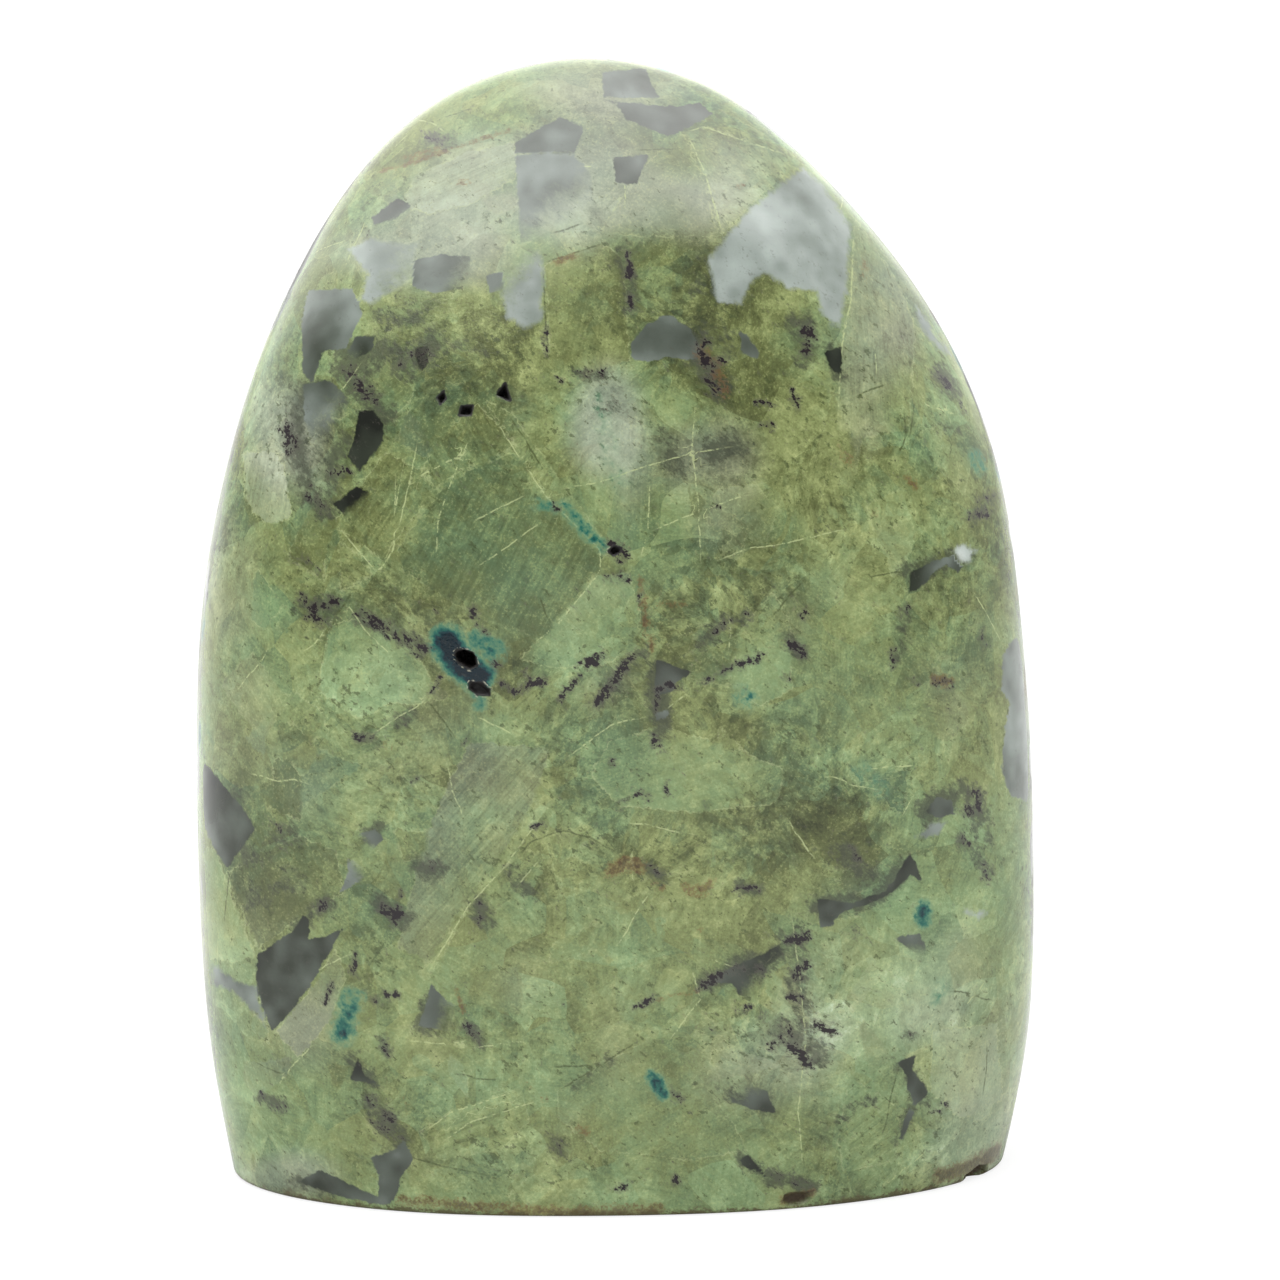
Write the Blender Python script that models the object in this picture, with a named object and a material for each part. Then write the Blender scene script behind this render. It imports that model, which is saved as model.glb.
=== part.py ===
"""Green feldspar, ground and polished by hand into one upright, free-standing form.

The stone is a single piece. It stands on a flat sawn base, its front faces -Y, and it narrows
upwards into a rounded top that leans a little to the left. Lengths are in metres, with +Z up and
the origin on the resting plane, under the middle of the stone.
"""

import math

import bmesh
import bpy
import numpy as np
from mathutils import Matrix, Vector

# Driving dimensions of the whole stone
HEIGHT = 0.102
WIDTH = 0.077
DEPTH = 0.043

# Handles of the smooth curve that shapes the form, from the sawn base to the top. Each is a level:
# its height, width and depth as shares of the driving dimensions, how far its middle stands to the
# right and to the back in metres, and how square its plan is (2 is an ellipse)
LEVELS = (
    (0.000, 0.932, 0.943, 0.0005, 0.0000, 2.00),
    (0.120, 0.997, 0.970, 0.0006, 0.0000, 2.25),
    (0.250, 1.003, 0.998, 0.0002, 0.0000, 2.50),
    (0.380, 1.000, 1.001, 0.0000, 0.0000, 2.50),
    (0.500, 0.982, 0.982, -0.0004, 0.0001, 2.50),
    (0.610, 0.940, 0.940, -0.0001, 0.0003, 2.45),
    (0.710, 0.864, 0.866, -0.0002, 0.0006, 2.40),
    (0.800, 0.747, 0.765, -0.0008, 0.0011, 2.30),
    (0.875, 0.604, 0.645, -0.0019, 0.0014, 2.20),
    (0.935, 0.455, 0.515, -0.0026, 0.0017, 2.10),
    (0.975, 0.307, 0.375, -0.0024, 0.0019, 2.05),
    (0.995, 0.139, 0.180, -0.0023, 0.0020, 2.00),
    (1.000, 0.000, 0.000, -0.0022, 0.0020, 2.00),
)

# Flats left by hand grinding: the way each one faces as (azimuth, elevation) in degrees, where
# azimuth 0 is the front and 90 the right side, how deep it is ground, and how softly it runs out
FLATS = (
    (-4.0, 0.0, 0.0010, 0.0011),
    (-22.0, 34.0, 0.0007, 0.0009),
    (16.0, 44.0, 0.0008, 0.0009),
    (52.0, 30.0, 0.0006, 0.0008),
    (176.0, 0.0, 0.0012, 0.0012),
    (150.0, 40.0, 0.0010, 0.0010),
    (215.0, 36.0, 0.0011, 0.0010),
)

# Small natural hollows in the front, open to the surface: (name, right of the middle, height above
# the base, long way across, short way across, depth, turn in degrees, number of sides)
HOLLOWS = (
    ("stained_vug", -0.0153, 0.0503, 0.0021, 0.0015, 0.0024, -36.0, 9),
    ("sparkling_pit", -0.0141, 0.0477, 0.0022, 0.0011, 0.0005, -20.0, 6),
    ("upper_pit", -0.0117, 0.0736, 0.0021, 0.0014, 0.0012, 108.0, 3),
    ("middle_pit", -0.0151, 0.0720, 0.0015, 0.0013, 0.0009, 40.0, 4),
    ("little_pit", -0.0171, 0.0730, 0.0011, 0.0007, 0.0007, 80.0, 4),
    ("centre_pit", -0.0022, 0.0597, 0.0011, 0.0009, 0.0006, 15.0, 5),
    ("rim_chip", 0.0141, 0.0009, 0.0032, 0.0018, 0.0004, 0.0, 7),
    ("corner_chip", 0.0322, 0.0004, 0.0050, 0.0018, 0.0006, 4.0, 6),
)

# How finely the form is faceted
RINGS = 42
SIDES = 84

# The worn edge between the sawn base and the polished sides
RIM_WIDTH = 0.0004
RIM_STEPS = 2
RIM_SHARPNESS = math.radians(40.0)

# A hollow narrows to this share of its mouth at the bottom, and its cutter starts this far outside
HOLLOW_TAPER = 0.45
CUTTER_REACH = 0.0010

STONE_GREEN = (0.235, 0.295, 0.140, 1.0)
POLISHED_ROUGHNESS = 0.22


def clear_scene():
    """Removes every object, so that only the stone is left at the end."""
    for leftover in list(bpy.data.objects):
        bpy.data.objects.remove(leftover)


def along_levels(count):
    """Rows of the smooth curve that the levels are the handles of, from the base to the top.

    The curve runs straight into the base, and it is mirrored at the top, where the width and the
    depth pass through nothing, so that the form closes with a round crown.
    """
    levels = np.array(LEVELS)
    last = len(levels) - 1
    mirrored = levels[last - 1] * (1, -1, -1, 1, 1, 1)
    handles = np.vstack([2 * levels[0] - levels[1], levels, mirrored])
    along = np.linspace(0.0, last, count)
    first = np.minimum(along.astype(int), last - 1)
    t = (along - first)[:, None]
    return (
        (1 - t) ** 3 * handles[first]
        + (3 * t**3 - 6 * t**2 + 4) * handles[first + 1]
        + (-3 * t**3 + 3 * t**2 + 3 * t + 1) * handles[first + 2]
        + t**3 * handles[first + 3]
    ) / 6


def rounded_plan(angles, squareness):
    """Unit outline of one level, seen from above: a circle that is squared off a little."""
    x, y = np.cos(angles), np.sin(angles)
    reach = (np.abs(x) ** squareness + np.abs(y) ** squareness) ** (-1 / squareness)
    return x * reach, y * reach


def facing(azimuth, elevation):
    """Unit vector that points out of the stone at this azimuth and elevation, in degrees."""
    a, e = math.radians(azimuth), math.radians(elevation)
    return np.array([math.sin(a) * math.cos(e), -math.cos(a) * math.cos(e), math.sin(e)])


def ground(points):
    """The points after each flat has been ground, softly, into the form."""
    for azimuth, elevation, deep, soft in FLATS:
        outwards = facing(azimuth, elevation)
        distance = points @ outwards
        over = (distance - distance.max() + deep) / soft
        points = points - outwards * (soft * np.logaddexp(0.0, over))[..., None]
    return points


def fitted(points):
    """The points moved and stretched a little, so that their box has the driving dimensions."""
    low = points.min(axis=(0, 1))
    high = points.max(axis=(0, 1))
    middle = np.array([(low[0] + high[0]) / 2, (low[1] + high[1]) / 2, low[2]])
    return (points - middle) * (WIDTH, DEPTH, HEIGHT) / (high - low)


def form_points():
    """Points of the whole form as rings, from the base to the top, where the last one closes."""
    angles = np.linspace(0.0, 2 * math.pi, SIDES, endpoint=False)
    rings = []
    for height, width, depth, right, back, squareness in along_levels(RINGS + 1):
        x, y = rounded_plan(angles, squareness)
        x = x * width * WIDTH / 2 + right
        y = y * depth * DEPTH / 2 + back
        rings.append(np.stack([x, y, np.full(SIDES, height * HEIGHT)], axis=-1))
    return fitted(ground(np.array(rings)))


def stone_mesh():
    """The closed form: rings of quads, a fan at the top and one flat face underneath."""
    points = form_points()
    points[0, :, 2] = 0.0
    shape = bmesh.new()
    rings = [[shape.verts.new(point) for point in ring] for ring in points[:-1]]
    top = shape.verts.new(points[-1].mean(axis=0))
    for lower, upper in zip(rings, rings[1:]):
        for side in range(SIDES):
            after = (side + 1) % SIDES
            shape.faces.new((lower[side], lower[after], upper[after], upper[side]))
    for side in range(SIDES):
        shape.faces.new((rings[-1][side], rings[-1][(side + 1) % SIDES], top))
    shape.faces.new(list(reversed(rings[0])))
    mesh = bpy.data.meshes.new("feldspar")
    shape.to_mesh(mesh)
    shape.free()
    return mesh


def polished_green():
    """The finish of the polished feldspar."""
    material = bpy.data.materials.new("polished_green_feldspar")
    material.use_nodes = True
    shader = material.node_tree.nodes["Principled BSDF"]
    shader.inputs["Base Color"].default_value = STONE_GREEN
    shader.inputs["Roughness"].default_value = POLISHED_ROUGHNESS
    shader.inputs["Metallic"].default_value = 0.0
    return material


def wear_rim(stone):
    """Rounds the edge of the sawn base."""
    rim = stone.modifiers.new("worn_rim", "BEVEL")
    rim.width = RIM_WIDTH
    rim.segments = RIM_STEPS
    rim.limit_method = "ANGLE"
    rim.angle_limit = RIM_SHARPNESS


def on_the_front(stone, right, height):
    """Point of the front at this place, and the way the surface faces there."""
    start = Vector((right, -DEPTH, height))
    hit, place, outwards, _ = stone.ray_cast(start, Vector((0.0, 1.0, 0.0)))
    if not hit:
        raise ValueError(f"no surface {right:.4f} m right of the middle at height {height:.4f} m")
    return place, outwards


def cut_hollow(stone, name, right, height, long_way, short_way, deep, turn, sides):
    """Cuts one small hollow: an angular, tapering hole, square to the surface."""
    place, outwards = on_the_front(stone, right, height)
    length = deep + CUTTER_REACH
    growth = 1 + (1 - HOLLOW_TAPER) * CUTTER_REACH / deep
    shape = bmesh.new()
    bmesh.ops.create_cone(
        shape,
        cap_ends=True,
        segments=sides,
        radius1=HOLLOW_TAPER / 2,
        radius2=growth / 2,
        depth=length,
        matrix=Matrix.Translation((0.0, 0.0, length / 2 - deep)),
    )
    bmesh.ops.scale(shape, vec=(long_way, short_way, 1.0), verts=shape.verts)
    turned = Matrix.Rotation(math.radians(turn), 3, "Z")
    bmesh.ops.rotate(shape, matrix=turned, verts=shape.verts)
    mesh = bpy.data.meshes.new(name)
    shape.to_mesh(mesh)
    shape.free()

    cutter = bpy.data.objects.new(name, mesh)
    bpy.context.scene.collection.objects.link(cutter)
    cutter.location = place
    cutter.rotation_euler = outwards.to_track_quat("Z", "Y").to_euler()
    cutter.hide_render = True
    cutter.display_type = "WIRE"
    hollow = stone.modifiers.new(name, "BOOLEAN")
    hollow.operation = "DIFFERENCE"
    hollow.solver = "EXACT"
    hollow.object = cutter


def build_feldspar():
    """Builds the stone as one object."""
    mesh = stone_mesh()
    mesh.materials.append(polished_green())
    mesh.shade_smooth()
    mesh.set_sharp_from_angle(angle=RIM_SHARPNESS)
    stone = bpy.data.objects.new("feldspar", mesh)
    bpy.context.scene.collection.objects.link(stone)
    bpy.context.view_layer.update()
    wear_rim(stone)
    for hollow in HOLLOWS:
        cut_hollow(stone, *hollow)


def main():
    clear_scene()
    build_feldspar()


main()
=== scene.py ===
"""Looks of an upright, polished free-form of green feldspar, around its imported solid.

The stone stands on its sawn base with its front towards -Y. Lengths are in metres in the frame of
the solid. What the front shows is drawn as named markings, whose points are places in the 1280 x
1280 picture; they are laid onto the front through the camera. The sides and the back have markings
of their own, drawn from a seed.
"""

import logging
import math
from collections.abc import Iterable
from dataclasses import dataclass, field
from enum import Enum, auto
from typing import Protocol, TypeAlias

import bmesh
import bpy
import numpy as np
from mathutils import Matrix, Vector


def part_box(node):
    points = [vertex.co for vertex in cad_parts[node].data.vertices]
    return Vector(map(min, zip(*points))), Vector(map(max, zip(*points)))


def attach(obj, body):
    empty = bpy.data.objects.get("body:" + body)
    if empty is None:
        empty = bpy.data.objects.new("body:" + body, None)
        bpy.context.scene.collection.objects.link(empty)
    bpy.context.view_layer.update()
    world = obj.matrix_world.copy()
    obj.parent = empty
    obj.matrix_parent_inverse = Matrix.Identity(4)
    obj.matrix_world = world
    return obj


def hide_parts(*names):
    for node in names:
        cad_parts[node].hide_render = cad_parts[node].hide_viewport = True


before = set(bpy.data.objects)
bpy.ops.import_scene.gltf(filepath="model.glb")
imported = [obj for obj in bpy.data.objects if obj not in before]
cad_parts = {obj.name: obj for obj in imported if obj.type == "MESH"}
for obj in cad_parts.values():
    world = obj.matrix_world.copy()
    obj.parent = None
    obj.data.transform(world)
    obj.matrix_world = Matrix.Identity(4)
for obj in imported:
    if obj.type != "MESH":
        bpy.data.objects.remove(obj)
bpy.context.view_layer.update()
LOG = logging.getLogger("feldspar")

MM = 0.001
PICTURE_SIZE = 1280

Array: TypeAlias = np.ndarray
Point: TypeAlias = tuple[float, float]
Outline: TypeAlias = tuple[Point, ...]
Socket: TypeAlias = bpy.types.NodeSocket
Node: TypeAlias = bpy.types.Node
Colour: TypeAlias = tuple[float, ...]
Stops: TypeAlias = tuple[tuple[float, Colour], ...]


def paint(red: int, green: int, blue: int) -> Colour:
    """Turns a screen colour into the linear colour that a shader takes.

    Args:
        red: Red, from 0 to 255.
        green: Green, from 0 to 255.
        blue: Blue, from 0 to 255.

    Returns:
        The linear colour, with full alpha.
    """
    parts = [share / 12.92 if share <= 0.04045 else ((share + 0.055) / 1.055) ** 2.4
             for share in (red / 255, green / 255, blue / 255)]
    return parts[0], parts[1], parts[2], 1.0


def smooth(values: Array, low: float, high: float) -> Array:
    """Runs from 0 at low to 1 at high, with a soft start and end.

    Args:
        values: Numbers of any shape.
        low: Where the run starts; it may be above high.
        high: Where the run ends.

    Returns:
        Numbers from 0 to 1, in the shape of values.
    """
    share = np.clip((values - low) / (high - low), 0.0, 1.0)
    return share * share * (3 - 2 * share)


def clouds(places: Array, size: float, octaves: int, seed: int) -> Array:
    """Makes soft random clouds in space.

    Args:
        places: One row of x, y and z for each place.
        size: Size of the largest clouds, in the unit of the places.
        octaves: How many times they are added again at half the size.
        seed: Start of the random numbers.

    Returns:
        A number of about -1 to 1 for each place.
    """
    chance = np.random.default_rng(seed)
    total = np.zeros(len(places))
    for octave in range(octaves):
        lattice = chance.uniform(-1, 1, (32, 32, 32))
        where = places / size * 2**octave + chance.uniform(0, 32, 3)
        cell = np.floor(where).astype(int)
        share = smooth(where - cell, 0.0, 1.0)
        for corner in np.ndindex(2, 2, 2):
            weight = np.where(corner, share, 1 - share).prod(axis=1)
            total += weight * lattice[tuple(((cell + corner) % 32).T)] * 0.8**octave
    return total


def facing(azimuth: float, elevation: float) -> Array:
    """Unit vector at so many degrees to the right of the front and above the floor."""
    a, e = math.radians(azimuth), math.radians(elevation)
    return np.array([math.sin(a) * math.cos(e), -math.cos(a) * math.cos(e), math.sin(e)])


def tilted(x: Array, y: Array, tilt: float) -> Outline:
    """Turns flat points by an angle in radians."""
    across = x * math.cos(tilt) - y * math.sin(tilt)
    upwards = x * math.sin(tilt) + y * math.cos(tilt)
    return tuple(zip(across.tolist(), upwards.tolist()))


# The camera of the picture


@dataclass(frozen=True)
class PhotoCamera:
    """The camera that took the picture; lens and aim were fitted to the stone's outline in it."""

    azimuth: float = -6.0
    elevation: float = 8.0
    distance: float = 0.5
    lens: float = 153.5
    sensor: float = 36.0
    aim: tuple[float, float, float] = (0.0021, -0.0002, 0.0490)

    def backwards(self) -> Array:
        """Unit vector from what the camera aims at towards the camera."""
        return facing(self.azimuth, self.elevation)

    def eye(self) -> Array:
        """Where the camera stands."""
        return np.array(self.aim) + self.backwards() * self.distance

    def picture_places(self, points: Array) -> Array:
        """Finds where points are seen in the picture.

        Args:
            points: One row of x, y and z for each point.

        Returns:
            One row for each point: pixels from the left and from the top.
        """
        back = self.backwards()
        right = np.cross((0.0, 0.0, 1.0), back)
        right /= np.linalg.norm(right)
        up = np.cross(back, right)
        offset = points - self.eye()
        depth = -(offset @ back)
        focal = self.lens / self.sensor * PICTURE_SIZE
        across = PICTURE_SIZE / 2 + focal * (offset @ right) / depth
        down = PICTURE_SIZE / 2 - focal * (offset @ up) / depth
        return np.stack([across, down], axis=-1)

    def pixel_mm(self) -> float:
        """Millimetres of the stone that one pixel of the picture covers."""
        return self.distance * self.sensor / (self.lens * PICTURE_SIZE) / MM

    def place(self) -> None:
        """Makes the scene's camera."""
        lens = bpy.data.cameras.new("photo_camera")
        lens.lens = self.lens
        lens.sensor_width = self.sensor
        camera = bpy.data.objects.new("photo_camera", lens)
        camera.location = self.eye()
        camera.rotation_euler = Vector(self.backwards()).to_track_quat("Z", "Y").to_euler()
        bpy.context.scene.collection.objects.link(camera)
        bpy.context.scene.camera = camera


# Drawing on the stone


def outline_distance(places: Array, outline: Outline) -> Array:
    """Measures how far places are from a closed outline.

    Args:
        places: One row of two numbers for each place.
        outline: The corners, in order.

    Returns:
        The distance of each place, below nothing inside the outline.
    """
    corners = np.asarray(outline, float)
    nearest = np.full(len(places), np.inf)
    inside = np.zeros(len(places), bool)
    for start, end in zip(corners, np.roll(corners, -1, axis=0)):
        edge = end - start
        offset = places - start
        share = np.clip(offset @ edge / (edge @ edge), 0.0, 1.0)
        nearest = np.minimum(nearest, np.square(offset - share[:, None] * edge).sum(axis=1))
        crossed = (start[1] <= places[:, 1]) != (end[1] <= places[:, 1])
        side = offset[:, 0] * edge[1] - offset[:, 1] * edge[0]
        inside ^= crossed & ((side < 0) == (edge[1] > 0))
    return np.where(inside, -1.0, 1.0) * np.sqrt(nearest)


def path_distance(places: Array, path: Outline) -> tuple[Array, Array]:
    """Measures how far places are from an open path.

    Args:
        places: One row of two numbers for each place.
        path: The corners of the path, in order.

    Returns:
        The distance of each place, below nothing on one side of the path, and how far along the
        path it is nearest to, from 0 to 1.
    """
    corners = np.asarray(path, float)
    lengths = np.linalg.norm(np.diff(corners, axis=0), axis=1)
    nearest = np.full(len(places), np.inf)
    side = np.ones(len(places))
    along = np.zeros(len(places))
    walked = 0.0
    for start, end, length in zip(corners, corners[1:], lengths):
        edge = end - start
        offset = places - start
        share = np.clip(offset @ edge / (edge @ edge), 0.0, 1.0)
        distance = np.square(offset - share[:, None] * edge).sum(axis=1)
        nearer = distance < nearest
        nearest = np.where(nearer, distance, nearest)
        turned = offset[:, 0] * edge[1] - offset[:, 1] * edge[0]
        side = np.where(nearer, np.where(turned < 0, -1.0, 1.0), side)
        along = np.where(nearer, walked + share * length, along)
        walked += length
    return side * np.sqrt(nearest), along / walked


@dataclass(frozen=True)
class Sheet:
    """Part of the stone's surface, laid flat so that markings can be drawn on it."""

    index: Array
    places: Array
    weight: Array
    unit_mm: float

    def near(self, points: Iterable[Point], reach_mm: float) -> "Sheet":
        """Picks the part of the sheet that a marking can touch.

        Args:
            points: Points of the marking.
            reach_mm: How far past their box the marking reaches.

        Returns:
            The smaller sheet.
        """
        corners = np.asarray(tuple(points), float)
        low = corners.min(axis=0) - reach_mm / self.unit_mm
        high = corners.max(axis=0) + reach_mm / self.unit_mm
        kept = ((self.places > low) & (self.places < high)).all(axis=1)
        return Sheet(self.index[kept], self.places[kept], self.weight[kept], self.unit_mm)


FAR_MM = 3.0


@dataclass
class Layers:
    """What is drawn on each point of the stone. Distances are in millimetres, below 0 inside."""

    count: int
    quartz: Array = field(init=False)
    quartz_look: Array = field(init=False)
    crystal: Array = field(init=False)
    crystal_look: Array = field(init=False)
    crystal_lines: Array = field(init=False)
    tint: Array = field(init=False)
    crust: Array = field(init=False)
    stain: Array = field(init=False)
    vein: Array = field(init=False)
    vein_shown: Array = field(init=False)
    smoke: Array = field(init=False)
    drift: Array = field(init=False)
    hollow: Array = field(init=False)

    def __post_init__(self) -> None:
        """Starts every layer empty."""
        for name in ("quartz", "crystal", "vein", "hollow"):
            setattr(self, name, np.full(self.count, FAR_MM))
        for name in ("crust", "smoke"):
            setattr(self, name, np.zeros(self.count))
        for name in ("quartz_look", "crystal_look", "crystal_lines", "vein_shown", "tint", "stain", "drift"):
            setattr(self, name, np.zeros((self.count, 3)))

    def keep_nearest(self, name: str, sheet: Sheet, distance: Array,
                     looks: dict[str, Array | tuple[float, float, float]]) -> None:
        """Adds a shape to a layer of distances, with its looks in it and where it is the nearest.

        Args:
            name: The layer of distances.
            sheet: Where the shape is drawn.
            distance: Distance of each point of the sheet from the shape, in millimetres.
            looks: Values for other layers, by the layer's name.
        """
        distance = distance + (1 - sheet.weight) * FAR_MM
        layer = getattr(self, name)
        nearer = (distance < layer[sheet.index]) | (distance < 0)
        chosen = sheet.index[nearer]
        layer[chosen] = distance[nearer]
        for look, value in looks.items():
            spread = np.broadcast_to(np.asarray(value, float), (len(sheet.index), 3))
            getattr(self, look)[chosen] = spread[nearer]

    def write(self, mesh: bpy.types.Mesh) -> None:
        """Stores the layers on the points of the mesh, where the finish reads them."""
        for name, values in vars(self).items():
            if name == "count":
                continue
            kind, key = ("FLOAT_VECTOR", "vector") if values.ndim == 2 else ("FLOAT", "value")
            layer = mesh.attributes.new(name, kind, "POINT")
            layer.data.foreach_set(key, values.astype(np.float32).ravel())


class Marking(Protocol):
    """Anything that can be drawn on a sheet."""

    def draw(self, layers: Layers, sheet: Sheet) -> None:
        """Draws the marking into the layers."""


@dataclass(frozen=True)
class QuartzWindow:
    """A patch of clear grey quartz, with a sharp outline."""

    outline: Outline
    milk: float
    full: Point | None = None
    gone: Point | None = None

    def draw(self, layers: Layers, sheet: Sheet) -> None:
        """Draws the window; from full to gone it sinks under the feldspar."""
        part = sheet.near(self.outline, FAR_MM)
        distance = outline_distance(part.places, self.outline) * part.unit_mm
        strength = np.ones(len(part.index))
        if self.full and self.gone:
            run = np.subtract(self.gone, self.full)
            strength = 1 - smooth((part.places - self.full) @ run / (run @ run), 0.0, 1.0)
        veil = layers.quartz_look[part.index, 2]
        look = np.stack([np.full(len(strength), self.milk), strength, veil], axis=-1)
        layers.keep_nearest("quartz", part, distance, {"quartz_look": look})


@dataclass(frozen=True)
class Crystal:
    """A feldspar crystal that stands out: its shade, and the fine lines of its cleavage."""

    outline: Outline
    light: float = 0.0
    mint: float = 0.0
    grey: float = 0.0
    lines_turn: float = 0.0
    lines: float = 0.0
    edge: float = 0.4

    def draw(self, layers: Layers, sheet: Sheet) -> None:
        """Draws the crystal."""
        part = sheet.near(self.outline, FAR_MM)
        distance = outline_distance(part.places, self.outline) * part.unit_mm
        looks = {"crystal_look": (self.light, self.mint, self.grey),
                 "crystal_lines": (math.radians(self.lines_turn), self.lines, self.edge)}
        layers.keep_nearest("crystal", part, distance, looks)


class Tint(Enum):
    """Shades of soft patches: how much lighter, how much mintier and how much greyer."""

    MINT = (0.30, 0.60, 0.00)
    PALE = (0.60, 0.20, 0.10)
    # Partly painted reflection: near the top of the front this tint paints the whitish veil of the polish.
    HAZE_AND_SHEEN = (0.45, 0.20, 0.80)
    OLIVE = (-0.20, -0.70, 0.00)
    DEEP = (-0.60, -0.10, 0.05)
    DUSK = (-0.35, 0.00, 0.50)
    GREY = (0.00, 0.15, 0.90)


@dataclass(frozen=True)
class Patch:
    """A soft patch of another shade, longer one way than the other."""

    tint: Tint
    middle: Point
    long: float
    wide: float
    amount: float
    crust: float = 0.0
    turn: float = 0.0

    def draw(self, layers: Layers, sheet: Sheet) -> None:
        """Draws the patch; it is full at its middle and gone at its long and wide reach."""
        part = sheet.near([self.middle], max(self.long, self.wide) * sheet.unit_mm * 1.5)
        a = math.radians(self.turn)
        offset = part.places - self.middle
        along = (offset @ (math.cos(a), -math.sin(a))) / self.long
        across = (offset @ (math.sin(a), math.cos(a))) / self.wide
        share = smooth(np.hypot(along, across), 1.35, 0.25) * part.weight
        layers.tint[part.index] += (share * self.amount)[:, None] * self.tint.value
        layers.crust[part.index] += share * self.crust


class Stain(Enum):
    """Stains, specks and smudges, each with the layer and the column that it is drawn in."""

    TEAL = ("stain", 0)
    RUST = ("stain", 1)
    SPECK = ("stain", 2)
    SMOKE = ("smoke", 0)


@dataclass(frozen=True)
class Streak:
    """A stain, specks or a smudge along a path, from full strength to nothing at its edge.

    A smudge is a dark place, where clear quartz lies close under the surface.
    """

    stain: Stain
    wide: float
    amount: float
    path: Outline

    def draw(self, layers: Layers, sheet: Sheet) -> None:
        """Draws the streak."""
        name, column = self.stain.value
        layer = getattr(layers, name).reshape(layers.count, -1)[:, column]
        part = sheet.near(self.path, self.wide * sheet.unit_mm)
        distance = np.abs(path_distance(part.places, self.path)[0])
        share = smooth(distance, self.wide, 0.0) * part.weight * self.amount
        layer[part.index] = np.maximum(layer[part.index], share)


@dataclass(frozen=True)
class Vein:
    """A hairline: a pale healed crack, or a dark open one."""

    path: Outline
    dark: bool = False

    def draw(self, layers: Layers, sheet: Sheet) -> None:
        """Draws the hairline; it fades towards both ends."""
        part = sheet.near(self.path, FAR_MM)
        distance, along = path_distance(part.places, self.path)
        distance *= part.unit_mm
        nearer = np.abs(distance) < np.abs(layers.vein[part.index])
        chosen = part.index[nearer]
        ends = smooth(np.minimum(along, 1 - along), 0.0, 0.15)
        shown = (ends * smooth(np.abs(distance), 1.4, 0.7) * part.weight)[nearer]
        layers.vein[chosen] = distance[nearer]
        layers.vein_shown[chosen, 0] = 0 if self.dark else shown
        layers.vein_shown[chosen, 1] = shown if self.dark else 0


def patches(tint: Tint, *rows: tuple[Point | float, ...]) -> tuple[Patch, ...]:
    """Makes patches of one tint; each row has the other fields of a patch, in order."""
    return tuple(Patch(tint, *row) for row in rows)


def streaks(stain: Stain, *rows: tuple[float | Point, ...]) -> tuple[Streak, ...]:
    """Makes streaks of one stain; each row has the width, the amount and the points of the path."""
    return tuple(Streak(stain, wide, amount, tuple(path)) for wide, amount, *path in rows)


def windows(**rows: tuple[Outline | Point | float, ...]) -> dict[str, QuartzWindow]:
    """Makes windows by name; each row has the fields of a window, in order."""
    return {name: QuartzWindow(*row) for name, row in rows.items()}


def crystals(**rows: tuple[Outline | float, ...]) -> dict[str, Crystal]:
    """Makes crystals by name; each row has the fields of a crystal, in order."""
    return {name: Crystal(*row) for name, row in rows.items()}


# What the front of the stone shows, in pixels of the picture

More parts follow.
